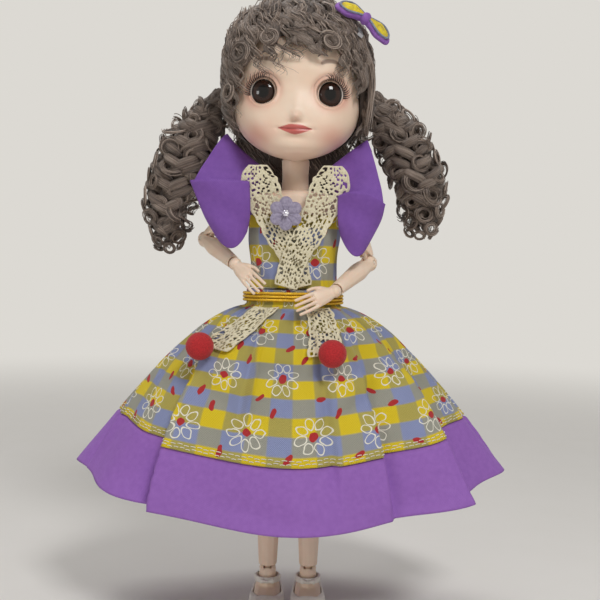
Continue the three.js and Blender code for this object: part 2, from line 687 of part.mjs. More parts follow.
function footRings(extra) {
  const half = FOOT_WIDTH / 2;
  const rows = [
    [0, 0.5, -0.5 * ANKLE_HEIGHT],
    [0.07, 0.74, -0.34 * ANKLE_HEIGHT],
    [0.25, 0.84, -0.22 * ANKLE_HEIGHT],
    [0.46, 0.92, -0.36 * ANKLE_HEIGHT],
    [0.72, 1, -0.52 * ANKLE_HEIGHT],
    [0.9, 0.86, -0.6 * ANKLE_HEIGHT],
    [1, 0.5, -0.68 * ANKLE_HEIGHT],
  ];
  return rows.map(([share, width, top]) => {
    const y = HEEL_BEHIND_ANKLE + extra - share * (FOOT_LENGTH + 2 * extra);
    const middle = (FOOT_FLOOR + top) / 2;
    const tall = (top - FOOT_FLOOR) / 2 + extra;
    return Array.from({ length: FOOT_SIDES }, (_, i) => {
      const turn = (2 * Math.PI * (i + 0.5)) / FOOT_SIDES;
      const sine = Math.sin(turn);
      const squared = Math.sign(sine) * Math.sqrt(Math.abs(sine));
      return vec((width * half + extra) * Math.cos(turn), y, middle + tall * squared);
    });
  });
}

function foot() {
  const slot = tongueRoom(LEG_TONGUE, ANKLE_EYE, 2 * ANKLE_RADIUS, ANKLE_TRAVEL);
  const column = bar(vec(0, 0, -0.6 * ANKLE_HEIGHT), vec(0, 0, -ANKLE_RADIUS * 0.4), ANKLE_RADIUS * 0.9);
  return toGeometry(toSolid(skin(footRings(0))).add(column).add(ball(ANKLE_RADIUS))
    .subtract(slot).subtract(pinBore(LEG_PIN, ANKLE_RADIUS)));
}

function shoeUpper() {
  const rimZ = -ANKLE_HEIGHT + SHOE_RIM_HEIGHT;
  const outside = toSolid(skin(footRings(GAP + SHOE_WALL)));
  const inside = toSolid(skin(footRings(GAP)));
  const sole = block(4 * FOOT_WIDTH, 4 * FOOT_LENGTH, ANKLE_HEIGHT,
    vec(0, 0, -ANKLE_HEIGHT + SHOE_SOLE - ANKLE_HEIGHT / 2));
  const mouth = block(4 * FOOT_WIDTH, FOOT_LENGTH, 2 * ANKLE_HEIGHT,
    vec(0, HEEL_BEHIND_ANKLE - 0.16 * FOOT_LENGTH, rimZ + ANKLE_HEIGHT));
  return toGeometry(outside.subtract(inside).subtract(sole).subtract(mouth));
}

function shoeSole() {
  const outline = new THREE.Shape();
  const extra = GAP + SHOE_WALL;
  const rings = footRings(extra);
  const right = rings.map((ring) => [Math.max(...ring.map((p) => p.x)), ring[0].y]);
  const left = right.map(([x, y]) => [-x, y]).reverse();
  [...right, ...left].forEach(([x, y], i) => (i ? outline.lineTo(x, y) : outline.moveTo(x, y)));
  const plate = new THREE.ExtrudeGeometry(outline, { depth: SHOE_SOLE - GAP, bevelEnabled: false });
  return plate.translate(0, 0, -ANKLE_HEIGHT);
}

// Ankle strap, a band round the foot just under the ankle ball.
function shoeStrap() {
  const inner = (ANKLE_RADIUS + GAP) / Math.cos(Math.PI / 12);
  const outer = inner + SHOE_WALL;
  const low = -ANKLE_RADIUS * 0.35 - STRAP_HEIGHT;
  const high = low + STRAP_HEIGHT;
  const profile = [[inner, low], [outer, low], [outer, high], [inner, high], [inner, low]];
  const band = new THREE.LatheGeometry(profile.map(([r, z]) => new THREE.Vector2(r, z)), 12);
  return welded(band.rotateX(Math.PI / 2));
}

function makeLeg(name, side) {
  const down = vec(0, 0, -1);
  const across = vec(1, 0, 0);
  const hip = hipAt(side);
  const upperGroup = limbGroup(limbFrame(hip.clone().setZ(KNEE_Z), down, across));
  place(`thigh_${name}`, thigh(), VINYL(), upperGroup);
  place(`shin_${name}`, shin(), VINYL(), upperGroup);
  place(`knee_pin_${name}`, hingePin(LEG_PIN, KNEE_RADIUS), HARD_PLASTIC(), upperGroup);
  const footGroup = limbGroup(limbFrame(hip.clone().setZ(ANKLE_HEIGHT), down, across));
  place(`foot_${name}`, foot(), VINYL(), footGroup);
  place(`ankle_pin_${name}`, hingePin(LEG_PIN, ANKLE_RADIUS), HARD_PLASTIC(), footGroup);
  place(`shoe_upper_${name}`, shoeUpper(), SHOE_WHITE(), footGroup);
  place(`shoe_sole_${name}`, shoeSole(), SHOE_WHITE(), footGroup);
  place(`shoe_strap_${name}`, shoeStrap(), SHOE_WHITE(), footGroup);
  const pegGroup = limbGroup(limbFrame(hip, down, across));
  const flangeAt = HIP_RADIUS + JOINT_GAP + VINYL_WALL + GAP;
  place(`hip_peg_${name}`, ballPeg(HIP_PEG_BALL, HIP_PEG_SHAFT, flangeAt), HARD_PLASTIC(), pegGroup);
}

// Head: rows are shares of its height, half width, face depth and skull depth.

const HEAD_SIDES = 18;
const HEAD_ROWS = [
  [0, 0.13, 0.78, -0.42],
  [0.04, 0.4, 0.92, 0],
  [0.11, 0.66, 0.99, 0.42],
  [0.19, 0.85, 1.02, 0.68],
  [0.3, 0.96, 1.02, 0.87],
  [0.42, 0.99, 0.97, 0.97],
  [0.56, 1.01, 0.98, 1.02],
  [0.7, 0.99, 0.93, 1],
  [0.83, 0.86, 0.74, 0.86],
  [0.93, 0.6, 0.46, 0.6],
  [0.99, 0.2, 0.1, 0.24],
];

// Rows as [z, half width, half depth, centre y], grown outwards by extra.
function headRows(extra) {
  return HEAD_ROWS.map(([share, width, front, back]) => {
    const face = -front * FACE_DEPTH - extra;
    const skull = back * SKULL_DEPTH + extra;
    const lift = share > 0.8 ? extra : 0;
    return [CHIN_Z + share * HEAD_HEIGHT + lift, width * HEAD_HALF_WIDTH + extra,
      (skull - face) / 2, (skull + face) / 2];
  });
}

// Section of stacked rows at a height, as [half width, half depth, centre y].
function sectionAt(rows, z) {
  const above = Math.min(Math.max(rows.findIndex((row) => row[0] > z), 1), rows.length - 1);
  const [low, high] = [rows[above - 1], rows[above]];
  const t = (z - low[0]) / (high[0] - low[0]);
  return [1, 2, 3].map((k) => lerp(low[k] ?? 0, high[k] ?? 0, t));
}

function frontOf(rows, x, z) {
  const [width, depth, middle] = sectionAt(rows, z);
  return middle - depth * Math.sqrt(Math.max(0, 1 - (x / width) ** 2));
}

const EYE_SINK = 0.6;
const EYEBALL_DEPTH = 4.6;
const eyeAt = (side) => {
  const x = (side * EYE_SPACING) / 2;
  const z = CHIN_Z + EYE_ABOVE_CHIN;
  return vec(x, frontOf(headRows(0), x, z) + EYE_SINK + EYEBALL_DEPTH, z);
};

function ear(side, extra) {
  const z = CHIN_Z + EYE_ABOVE_CHIN - EAR_HEIGHT / 2;
  const at = vec(side * HEAD_HALF_WIDTH * 0.96, HEAD_SPLIT - 5, z);
  return ellipsoid(EAR_THICK / 2 + extra, EAR_WIDTH / 2 + extra, EAR_HEIGHT / 2 + extra, at, 8);
}

function makeHead() {
  const faceAt = (z, x = 0) => frontOf(headRows(0), x, z);
  const noseZ = CHIN_Z + NOSE_ABOVE_CHIN;
  const mouthZ = CHIN_Z + MOUTH_ABOVE_CHIN;
  const noseRadius = NOSE_LENGTH * 0.7;
  const seat = vec(0, 0, HEAD_SEAT_Z);
  const pocketZ = HEAD_SEAT_Z + HEAD_WALL;
  const bossTop = vec(0, 0, CHIN_Z + HEAD_HEIGHT * 0.19);
  let head = toSolid(upright(headRows(0), HEAD_SIDES))
    .add(bar(seat, bossTop, NECK_RADIUS + 1, 14))
    .add(ellipsoid(noseRadius, NOSE_LENGTH, noseRadius, vec(0, faceAt(noseZ) + NOSE_LENGTH * 0.2, noseZ), 8))
    .add(ellipsoid(MOUTH_WIDTH * 0.42, 1.5, 1.7, vec(0, faceAt(mouthZ) + 0.4, mouthZ), 8));
  for (const side of [1, -1]) {
    head = head.add(ear(side, 0));
  }
  const inside = headRows(-HEAD_WALL).slice(2, -1);
  head = head.subtract(bar(seat.clone().setZ(CHIN_Z - HEAD_HEIGHT), seat, NECK_RADIUS + 1.6, 14))
    .subtract(toSolid(upright(inside, 12)))
    .subtract(bar(vec(0, 0, pocketZ), bossTop, HEAD_PEG_RADIUS + PEG_FLANGE_LIP + 2 * GAP))
    .subtract(bar(seat.clone().setZ(CHIN_Z), vec(0, 0, pocketZ + GAP), HEAD_PEG_RADIUS + GAP, 12));
  for (const side of [1, -1]) {
    const eye = eyeAt(side);
    const room = EYEBALL_RADIUS + GAP;
    const hole = new THREE.CylinderGeometry(1, 1, FACE_DEPTH, 12);
    hole.scale(EYE_WIDTH / 2, 1, EYE_HEIGHT / 2).translate(eye.x, eye.y - FACE_DEPTH / 2, eye.z);
    head = head.subtract(toSolid(hole)).subtract(ellipsoid(room, EYEBALL_DEPTH + GAP, room, eye, 12));
  }
  const [face, back] = halves(head, HEAD_SPLIT);
  place('face', face, VINYL());
  place('head_back', back, VINYL());
  for (const [name, side] of [['left', 1], ['right', -1]]) {
    const shape = ellipsoid(EYEBALL_RADIUS, EYEBALL_DEPTH, EYEBALL_RADIUS, eyeAt(side), 10);
    place(`eye_${name}`, toGeometry(shape), finish(0x2a1712, 0.1));
  }
}

// Wig: a cap of rooted hair, a fringe, one side lock, two ringlet bunches and the hair at the back

const HAIRLINE_Z = CHIN_Z + HAIRLINE_ABOVE_CHIN;
const NAPE_Z = CHIN_Z + NAPE_ABOVE_CHIN;
const HAIRLINE_Y = -6;

function makeCrown() {
  const outside = toSolid(upright(headRows(HAIR_THICK).slice(2), HEAD_SIDES));
  const inside = toSolid(upright(headRows(GAP + 0.3), HEAD_SIDES));
  const wide = 6 * HEAD_HALF_WIDTH;
  const faceRoom = block(wide, wide, wide, vec(0, HAIRLINE_Y - wide / 2, HAIRLINE_Z - wide / 2));
  const napeRoom = block(wide, wide, wide, vec(0, 0, NAPE_Z - wide / 2));
  let crown = outside.subtract(inside).subtract(faceRoom).subtract(napeRoom);
  for (const side of [1, -1]) {
    crown = crown.subtract(ear(side, 3 * GAP));
  }
  place('hair_crown', toGeometry(crown), HAIR());
}

// Fringe: a curved bank of hair over the forehead, longest at the doll's right temple.
function makeFringe() {
  const rows = headRows(4 * GAP);
  const outer = headRows(HAIR_THICK);
  const stations = 11;
  const rings = Array.from({ length: stations }, (_, k) => {
    const across = lerp(-0.9, 0.82, k / (stations - 1));
    const drop = FRINGE_DROP * (0.55 + 0.45 * Math.abs(across) + 0.12 * Math.cos(9 * across));
    const top = HAIRLINE_Z - GAP;
    const low = top - drop;
    const at = (from, z) => {
      const [width, depth, middle] = sectionAt(from, z);
      return vec(across * width, middle - depth * Math.sqrt(1 - across ** 2), z);
    };
    return [at(rows, low), at(rows, top), at(outer, top), at(outer, lerp(low, top, 0.35))];
  });
  place('hair_fringe', skin(rings), HAIR());
}

// Ringlet bunch: a bulging lock whose outline twists into lobes.
function makeBunch(name, side, length) {
  const top = NAPE_Z + BUNCH_ROOT_RISE;
  const root = HEAD_HALF_WIDTH + HAIR_THICK;
  const back = HEAD_SPLIT + BUNCH_BACK;
  const spine = new THREE.CatmullRomCurve3([
    vec(side * (root + BUNCH_ROOT_GAP), HEAD_SPLIT + BUNCH_BACK * 0.55, top),
    vec(side * (root + BUNCH_SPREAD * 0.5), HEAD_SPLIT + BUNCH_BACK * 0.85, top - length * 0.25),
    vec(side * (root + BUNCH_SPREAD * 0.93), back, top - length * 0.6),
    vec(side * (root + BUNCH_SPREAD), back - 2, top - length),
  ]);
  const swell = [0.24, 0.5, 0.76, 0.92, 1, 0.99, 0.9, 0.74, 0.5, 0.18];
  const rings = swell.map((share, k) => {
    const t = k / (swell.length - 1);
    const at = spine.getPoint(t);
    return Array.from({ length: 2 * BUNCH_RINGLETS }, (_, i) => {
      const turn = (2 * Math.PI * i) / (2 * BUNCH_RINGLETS);
      const lobe = share * (i % 2 ? 0.86 : 1);
      const twisted = turn + 1.6 * t * side;
      return vec(at.x + (BUNCH_WIDTH / 2) * lobe * Math.cos(twisted),
        at.y + (BUNCH_DEPTH / 2) * lobe * Math.sin(twisted), at.z);
    });
  });
  place(`hair_bunch_${name}`, skin(rings), HAIR());
}

function makeSideLock() {
  const x = HEAD_HALF_WIDTH + HAIR_THICK;
  const lock = tube([
    vec(x * 0.93, HAIRLINE_Y - 7, HAIRLINE_Z - GAP),
    vec(x * 0.99, HAIRLINE_Y - 6, lerp(HAIRLINE_Z, NAPE_Z, 0.5)),
    vec(x * 0.97, HAIRLINE_Y - 5, NAPE_Z + 1),
  ], (t) => 2.6 - 1.4 * t, 6, 8);
  place('hair_side_lock', lock, HAIR());
}

function makeBackHair() {
  const y = SKULL_DEPTH;
  const low = NAPE_Z - BACK_HAIR_LENGTH;
  const wide = HEAD_HALF_WIDTH;
  const back = upright([
    [low, wide * 0.6, 3, y - 1],
    [lerp(low, NAPE_Z, 0.25), wide * 0.86, 6, y + 1],
    [lerp(low, NAPE_Z, 0.7), wide * 0.92, 8, y + 1],
    [NAPE_Z - GAP, wide * 0.8, 7, y - 1],
  ], 14);
  place('hair_back', back, HAIR());
}

// Hair bow on a barrette, above the doll's left temple
const BOW_SHARE = 0.8;             // its height up the head
const BOW_STAND_OFF = 2.9;

function makeBow() {
  const z = CHIN_Z + HEAD_HEIGHT * BOW_SHARE;
  const [width, depth, centre] = sectionAt(headRows(HAIR_THICK), z);
  const around = rad(-38);
  const seat = vec(width * Math.cos(around), centre + depth * Math.sin(around), z);
  const out = vec(Math.cos(around), Math.sin(around) * 0.8, 0.75).normalize();
  const along = vec(0.45, 0.25, 0.86).addScaledVector(out, -vec(0.45, 0.25, 0.86).dot(out)).normalize();
  const turn = new THREE.Matrix4().makeBasis(along, out.clone().cross(along), out);
  const clipThick = 1.4;
  const frame = turn.clone().setPosition(seat.clone().addScaledVector(out, BOW_STAND_OFF));
  const group = limbGroup(frame);
  place('bow_clip', new THREE.BoxGeometry(BOW_LOOP, 3, clipThick), finish(0xb8b8bc, 0.3, 0.9), group);
  const height = clipThick / 2 + GAP + BOW_WIDTH * 0.31;
  let loops = null;
  for (const side of [1, -1]) {
    const middle = vec(side * BOW_LOOP * 0.52, 0, height);
    const loop = ellipsoid(BOW_LOOP * 0.54, BOW_WIDTH / 2, BOW_WIDTH * 0.28, middle, 8);
    loops = loops ? loops.add(loop) : loop;
  }
  const knot = ellipsoid(2.2, 2.6, BOW_WIDTH * 0.32, vec(0, 0, height), 8);
  place('hair_bow', toGeometry(loops.add(knot)), PURPLE_CLOTH(), group);
}

// Dress

const BODICE_FOOT_Z = CHEST_FLOOR_Z + 0.1;
const BODICE_TOP_Z = BODICE_FOOT_Z + BODICE_HEIGHT;

// Bodice: a sleeve of cloth that follows the chest.
function bodiceRows(extra) {
  const rows = chestRows(0);
  const heights = [BODICE_FOOT_Z, ...rows.map((row) => row[0]), BODICE_TOP_Z]
    .filter((z) => z >= BODICE_FOOT_Z && z <= BODICE_TOP_Z);
  return heights.map((z) => {
    const [width, depth, middle] = sectionAt(rows, z);
    return [z, width + extra, depth + extra, middle];
  });
}

function makeBodice() {
  const wall = (extra) => bodiceRows(extra).map(([z, w, d, y]) => ellipseRing(z, w, d, TORSO_SIDES, 0, y));
  const rings = [...wall(BODICE_EASE + CLOTH), ...wall(BODICE_EASE).reverse()];
  place('bodice', skin(rings, true), GINGHAM());
}

// Skirt: cloth of one length all round, spread from the waistband to an oval hem and waved into
// folds. A point is given by its angle and its distance down the cloth from the belt's lower edge.

const SKIRT_TOP_Z = PELVIS_TOP_Z - 0.1;
const BELT_LOW_Z = SKIRT_TOP_Z - BELT_HEIGHT;
const CLOTH_LENGTH = SKIRT_LENGTH + HEM_LENGTH;
const BAND_HALF_WIDTH = WAIST_HALF_WIDTH + 1.6 + CLOTH;
const BAND_HALF_DEPTH = WAIST_HALF_DEPTH + 1.6 + CLOTH;
const FRONT = -Math.PI / 2;

function skirtPoint(angle, along, lift = 0) {
  const share = Math.max(0, along) / CLOTH_LENGTH;
  const [c, s] = [Math.cos(angle), Math.sin(angle)];
  const run = Math.hypot((HEM_HALF_WIDTH - BAND_HALF_WIDTH) * c, (HEM_HALF_DEPTH - BAND_HALF_DEPTH) * s);
  const drop = Math.sqrt(CLOTH_LENGTH ** 2 - run ** 2);
  const spread = share ** 0.75;
  const fall = share ** 1.2;
  const fold = FOLD_DEPTH * share * Math.cos(SKIRT_FOLDS * angle);
  const width = lerp(BAND_HALF_WIDTH, HEM_HALF_WIDTH, spread) + fold + lift;
  const depth = lerp(BAND_HALF_DEPTH, HEM_HALF_DEPTH, spread) + fold + lift;
  const raise = along > 0 ? lift * 0.8 : 0;
  return vec(width * c, depth * s, BELT_LOW_Z - drop * fall - Math.min(0, along) + raise);
}

const SKIRT_SIDES = 48;

function skirtRing(along, lift) {
  const step = (2 * Math.PI) / SKIRT_SIDES;
  return Array.from({ length: SKIRT_SIDES }, (_, i) => skirtPoint(step * i, along, lift));
}

function clothTube(distances) {
  const outside = distances.map((along) => skirtRing(along, 0));
  const inside = distances.map((along) => skirtRing(along, -CLOTH)).reverse();
  return skin([...outside, ...inside], true);
}

function makeSkirt() {
  const shares = [0.07, 0.22, 0.5, 0.75, 1];
  const panel = [-BELT_HEIGHT, 0.01, ...shares.map((t) => t * SKIRT_LENGTH)];
  place('skirt_panel', clothTube(panel), GINGHAM());
  const hemTop = SKIRT_LENGTH + GAP;
  place('hem_band', clothTube([hemTop, lerp(hemTop, CLOTH_LENGTH, 0.5), CLOTH_LENGTH]), PURPLE_CLOTH());
}

// Belt: one cord wound round the waistband in a rising coil.
function makeWaistCord() {
  const radius = CORD_DIAMETER / 2;
  const reach = radius + GAP + 0.15;
  const steps = CORD_TURNS * 24;
  const sides = 6;
  const start = SKIRT_TOP_Z - BELT_HEIGHT / 2 - (CORD_TURNS * CORD_PITCH) / 2;
  const centre = (k) => {
    const angle = FRONT + 0.5 + (2 * Math.PI * k) / 24;
    return vec((BAND_HALF_WIDTH + reach) * Math.cos(angle), (BAND_HALF_DEPTH + reach) * Math.sin(angle),
      start + (CORD_PITCH * k) / 24);
  };
  const rings = Array.from({ length: steps + 1 }, (_, k) => {
    const at = centre(k);
    const out = vec(at.x, at.y, 0).normalize();
    return Array.from({ length: sides }, (_unused, i) => {
      const turn = (2 * Math.PI * i) / sides;
      return at.clone().addScaledVector(out, radius * Math.cos(turn)).setZ(at.z + radius * Math.sin(turn));
    });
  });
  let least = Infinity;
  for (let a = 0; a <= steps; a += 1) {
    for (let b = a + 12; b <= steps; b += 1) {
      least = Math.min(least, centre(a).distanceTo(centre(b)) - CORD_DIAMETER);
    }
  }
  console.log(`waist cord: least gap to itself ${least.toFixed(2)} mm`);
  place('waist_cord', skin(rings), GOLD_CORD());
}

// Strip of cloth through stations that each give the points across it, with its thickness along
// the given outward way.
function strip(stations, outward, thick) {
  const rings = stations.map((across, k) => {
    const raised = across.map((p) => p.clone().addScaledVector(outward(p, k), thick)).reverse();
    return [...across, ...raised];
  });
  return skin(rings);
}

// Shoulder ruffle: gathered on a seam from the bodice front over the shoulder, and standing out
// from it like a wing.
function makeRuffle(name, side) {
  const x = CHEST_HALF_WIDTH;
  const y = -CHEST_HALF_DEPTH;
  const top = SHOULDER_TOP_Z + 3;
  const seam = new THREE.CatmullRomCurve3([
    vec(x + 2.6, y - 2.2, SHOULDER_Z - 22),
    vec(x + 1.6, y - 1, SHOULDER_Z - 10),
    vec(x - 2.2, y + 4.8, SHOULDER_Z + 2.5),
    vec(x - 5, y + 11, top),
    vec(x - 7, y + 20, top),
  ]);
  const ways = new THREE.CatmullRomCurve3([
    vec(0.86, -0.42, -0.1),
    vec(0.92, -0.32, 0.16),
    vec(0.88, -0.22, 0.5),
    vec(0.68, -0.1, 0.9),
    vec(0.42, 0, 0.95),
  ]);
  const stations = 17;
  const across = Array.from({ length: stations }, (_, k) => {
    const t = k / (stations - 1);
    const base = seam.getPoint(t);
    const way = ways.getPoint(t).normalize();
    const width = RUFFLE_WIDTH * (0.62 + 0.42 * Math.sin(Math.PI * Math.min(1, t * 1.15 + 0.1)));
    const wave = (k % 2 ? 1 : -1) * 0.9;
    return [0, 0.5, 1].map((share) => {
      const p = base.clone().addScaledVector(way, width * share);
      p.y += wave * share;
      return vec(side * p.x, p.y, p.z);
    });
  });
  place(`ruffle_${name}`, strip(across, () => vec(0, -0.9, 0.3).normalize(), CLOTH), PURPLE_CLOTH());
}

// Lace scarf: two bands that stand up as a collar, cross on the chest and tuck under the belt.
const COLLAR_TIP_Z = NECK_Z + 14;
const COLLAR_FLARE = 5;
const COLLAR_BEND = 12;           // the collar runs flat beyond this distance from the middle

function laceFront(x, z, lift) {
  const held = Math.min(z, SHOULDER_Z - 7);
  const rise = Math.max(0, z - held) / (COLLAR_TIP_Z - held);
  const bent = THREE.MathUtils.clamp(x, -COLLAR_BEND, COLLAR_BEND);
  return frontOf(bodiceRows(BODICE_EASE + CLOTH), bent, held) - lift - COLLAR_FLARE * rise;
}

function makeScarf(name, side, lift) {
  const low = BODICE_FOOT_Z + 0.4;
  const stations = [
    [16.5, COLLAR_TIP_Z, 0.6],
    [16, COLLAR_TIP_Z - 8, 0.9],
    [13, SHOULDER_Z + 2, 1],
    [9.5, SHOULDER_Z - 8, 0.95],
    [6, WAIST_Z + WAIST_TO_SHOULDER * 0.62, 0.9],
    [3.5, lerp(low, SHOULDER_Z, 0.5), 0.85],
    [-1, lerp(low, SHOULDER_Z, 0.25), 0.8],
    [-3.5, low, 0.75],
  ];
  const across = stations.map(([x, z, share]) => [-0.5, -0.17, 0.17, 0.5].map((t) => {
    const at = side * (x + t * share * LACE_WIDTH);
    return vec(at, laceFront(at, z, lift), z);
  }));
  place(`lace_scarf_${name}`, strip(across, () => vec(0, -1, 0), LACE_THICK), LACE());
}

// Scarf ends that hang over the skirt, each with a pompom.
function makeTail(name, angle, endAngle, pompomLift) {
  const lift = GAP + 0.3;
  const spread = [0.2, 0.17, 0.16, 0.17];
  const across = spread.map((half, k) => {
    const t = k / (spread.length - 1);
    const along = lerp(3.4, TAIL_LENGTH, t);
    return [-1, 0, 1].map((s) => skirtPoint(FRONT + lerp(angle, endAngle, t) + s * half, along, lift));
  });
  const out = () => vec(0, -0.85, 0.5).normalize();
  place(`lace_tail_${name}`, strip(across, out, LACE_THICK), LACE());
  const at = skirtPoint(FRONT + endAngle, TAIL_LENGTH + POMPOM_RADIUS * POMPOM_HANG, pompomLift);
  place(`pompom_${name}`, toGeometry(ball(POMPOM_RADIUS, at, 12)), RED_WOOL());
}

// Brooch: a cloth flower with a cut stone, pinned where the bands meet.
function makeBrooch() {
  const z = SHOULDER_Z - 4.5;
  const x = -4;
  const y = laceFront(0, z, LACE_LIFT_LEFT + LACE_THICK + GAP + 0.2);
  const outline = new THREE.Shape();
  const points = 36;
  for (let i = 0; i < points; i += 1) {
    const turn = (2 * Math.PI * i) / points;
    const radius = FLOWER_RADIUS * (0.76 + 0.24 * Math.abs(Math.cos(3 * turn)));
    const [u, v] = [radius * Math.cos(turn), radius * Math.sin(turn)];
    if (i) outline.lineTo(u, v);
    else outline.moveTo(u, v);
  }
  const flower = new THREE.ExtrudeGeometry(outline, { depth: FLOWER_THICK, bevelEnabled: false });
  flower.rotateX(Math.PI / 2).translate(x, y, z);
  place('brooch_flower', flower, finish(0x9a8cc0, 0.8));
  const gemDepth = GEM_RADIUS * 0.7;
  const gem = ellipsoid(GEM_RADIUS, gemDepth, GEM_RADIUS, vec(x, y - FLOWER_THICK - GAP - gemDepth, z), 8);
  place('brooch_gem', toGeometry(gem), finish(0xd8d4e8, 0.1));
}

const LACE_LIFT_RIGHT = GAP + 0.4;
const LACE_LIFT_LEFT = LACE_LIFT_RIGHT + LACE_THICK + GAP + 0.4;

makeChest();
makePelvis();
makeWaistPeg();
makeNeck();
makeArm('left', 1, [UPPER_ARM_LEFT, FOREARM_LEFT, HAND_LEFT], ELBOW_LEFT_TRAVEL);
makeArm('right', -1, [UPPER_ARM_RIGHT, FOREARM_RIGHT, HAND_RIGHT], ELBOW_RIGHT_TRAVEL);
makeLeg('left', 1);
makeLeg('right', -1);
makeHead();
makeCrown();
makeFringe();
makeSideLock();
makeBunch('left', 1, BUNCH_LENGTH_LEFT);
makeBunch('right', -1, BUNCH_LENGTH_RIGHT);
makeBackHair();
makeBow();
makeBodice();
makeSkirt();
makeWaistCord();
makeRuffle('left', 1);
makeRuffle('right', -1);
makeScarf('right', -1, LACE_LIFT_RIGHT);
makeScarf('left', 1, LACE_LIFT_LEFT);
makeTail('left', 0.4, 0.3, POMPOM_RADIUS + 0.4);
makeTail('right', -0.42, -0.72, POMPOM_RADIUS - 0.1);
makeBrooch();

export default doll;
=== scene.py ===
"""Looks of a ball-jointed fashion doll in a gingham party dress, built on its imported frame.

Sizes are in millimetres and are turned to metres when a mesh is made. The doll faces -Y, its own
left side is +X, and the floor is at z = 0.
"""

import logging
import math
from dataclasses import dataclass
from enum import Enum
from typing import Callable, Sequence

import bpy
import numpy as np
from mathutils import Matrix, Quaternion, Vector

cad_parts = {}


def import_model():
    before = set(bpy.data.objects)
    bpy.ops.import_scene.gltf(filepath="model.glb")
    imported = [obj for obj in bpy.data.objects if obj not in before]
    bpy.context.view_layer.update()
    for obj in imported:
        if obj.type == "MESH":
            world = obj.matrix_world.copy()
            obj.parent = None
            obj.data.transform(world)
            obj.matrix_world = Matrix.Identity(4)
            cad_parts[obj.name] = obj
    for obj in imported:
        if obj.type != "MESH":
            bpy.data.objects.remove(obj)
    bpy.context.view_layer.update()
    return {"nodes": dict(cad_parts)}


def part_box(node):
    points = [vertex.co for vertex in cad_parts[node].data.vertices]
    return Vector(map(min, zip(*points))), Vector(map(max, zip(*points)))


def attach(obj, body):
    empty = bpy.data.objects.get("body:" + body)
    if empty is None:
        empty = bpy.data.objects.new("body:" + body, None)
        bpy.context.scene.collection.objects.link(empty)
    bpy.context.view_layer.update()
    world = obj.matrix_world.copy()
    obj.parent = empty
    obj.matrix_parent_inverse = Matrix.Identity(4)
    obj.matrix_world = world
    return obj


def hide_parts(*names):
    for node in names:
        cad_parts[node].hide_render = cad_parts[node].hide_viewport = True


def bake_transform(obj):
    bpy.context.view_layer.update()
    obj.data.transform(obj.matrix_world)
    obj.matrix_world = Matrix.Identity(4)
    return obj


MM = 0.001
FRONT = -math.pi / 2
# The golden angle, which spreads copies evenly
GOLDEN = 2.39996
LOG = logging.getLogger("doll")

Array = np.ndarray
Place = Callable[[Array, Array], Array]
Pair = tuple[float, float]
Way = tuple[float, float, float]
Rows = tuple[tuple[float, ...], ...]
Spine = Callable[[Array], tuple[Array, Array]]
Piece = bpy.types.Object
Material = bpy.types.Material
Node = bpy.types.Node
Tree = bpy.types.NodeTree
Socket = bpy.types.NodeSocket


class Side(Enum):
    """The doll's own sides, with the sign of their X."""

    LEFT = 1
    RIGHT = -1

    @property
    def label(self) -> str:
        """Name of the side as the frame's nodes have it."""
        return self.name.lower()


# Small tools


def linear(code: str) -> tuple[float, float, float, float]:
    """Turns an sRGB hex value to a linear colour.

    Args:
        code: the colour as #rrggbb.

    Returns:
        Red, green, blue and alpha.
    """
    parts = [int(code[i:i + 2], 16) / 255 for i in (1, 3, 5)]
    return (*[c / 12.92 if c <= 0.04045 else ((c + 0.055) / 1.055) ** 2.4 for c in parts], 1.0)


def feed(tree: Tree, node: Node, values: dict) -> None:
    """Sets the inputs of a shader node.

    Args:
        tree: the material's node tree.
        node: the node.
        values: for each input, by name or number, a socket to link or a value to set.
    """
    for key, value in values.items():
        if isinstance(value, Socket):
            tree.links.new(value, node.inputs[key])
        else:
            node.inputs[key].default_value = value


def add(tree: Tree, kind: str, values: dict | None = None, **settings: object) -> Node:
    """Adds a shader node.

    Args:
        tree: the material's node tree.
        kind: the node's type, without its common prefix.
        values: its inputs, as feed() takes them.
        settings: the node's own properties.

    Returns:
        The new node.
    """
    node = tree.nodes.new("ShaderNode" + kind)
    for key, value in settings.items():
        setattr(node, key, value)
    feed(tree, node, values or {})
    return node


def smoothstep(low: float, high: float, value: Array) -> Array:
    """Rises smoothly from 0 at low to 1 at high; high may be the lower one."""
    t = np.clip((value - low) / (high - low), 0.0, 1.0)
    return t * t * (3 - 2 * t)


def mix(a: Array | float, b: Array | float, t: Array | float) -> Array:
    """Straight blend from a at 0 to b at 1."""
    return a + (b - a) * t


def through(stops: Sequence[Sequence[float]], at: Array) -> Array:
    """Smooth curve through stops, each a place followed by its values.

    Args:
        stops: rows of [place, value, ...] with rising places.
        at: where to read the curve.

    Returns:
        One row of values for each place asked for.
    """
    table = np.asarray(stops, float)
    x, y = table[:, 0], table[:, 1:]
    slope = np.gradient(y, x, axis=0)
    at = np.clip(np.asarray(at, float), x[0], x[-1])
    k = np.clip(np.searchsorted(x, at, side="right") - 1, 0, len(x) - 2)
    width = (x[k + 1] - x[k])[..., None]
    t = (at[..., None] - x[k][..., None]) / width
    a, b = t * t * t, t * t
    return ((2 * a - 3 * b + 1) * y[k] + (a - 2 * b + t) * width * slope[k]
            + (3 * b - 2 * a) * y[k + 1] + (a - b) * width * slope[k + 1])


def unit(vectors: Array) -> Array:
    """Vectors at length one."""
    return vectors / np.maximum(np.linalg.norm(vectors, axis=-1, keepdims=True), 1e-9)


def length_of(line: Array) -> float:
    """Length of a line of points."""
    return float(np.linalg.norm(np.diff(line, axis=0), axis=1).sum())


def from_front(turn: Array | float) -> Array:
    """The way round from the front, from -pi to pi."""
    return np.angle(np.exp(1j * (turn - FRONT)))


def all_round(share: Array) -> Array:
    """Turns in radians from shares of the way round, which start and end behind."""
    return FRONT - math.pi + 2 * math.pi * share


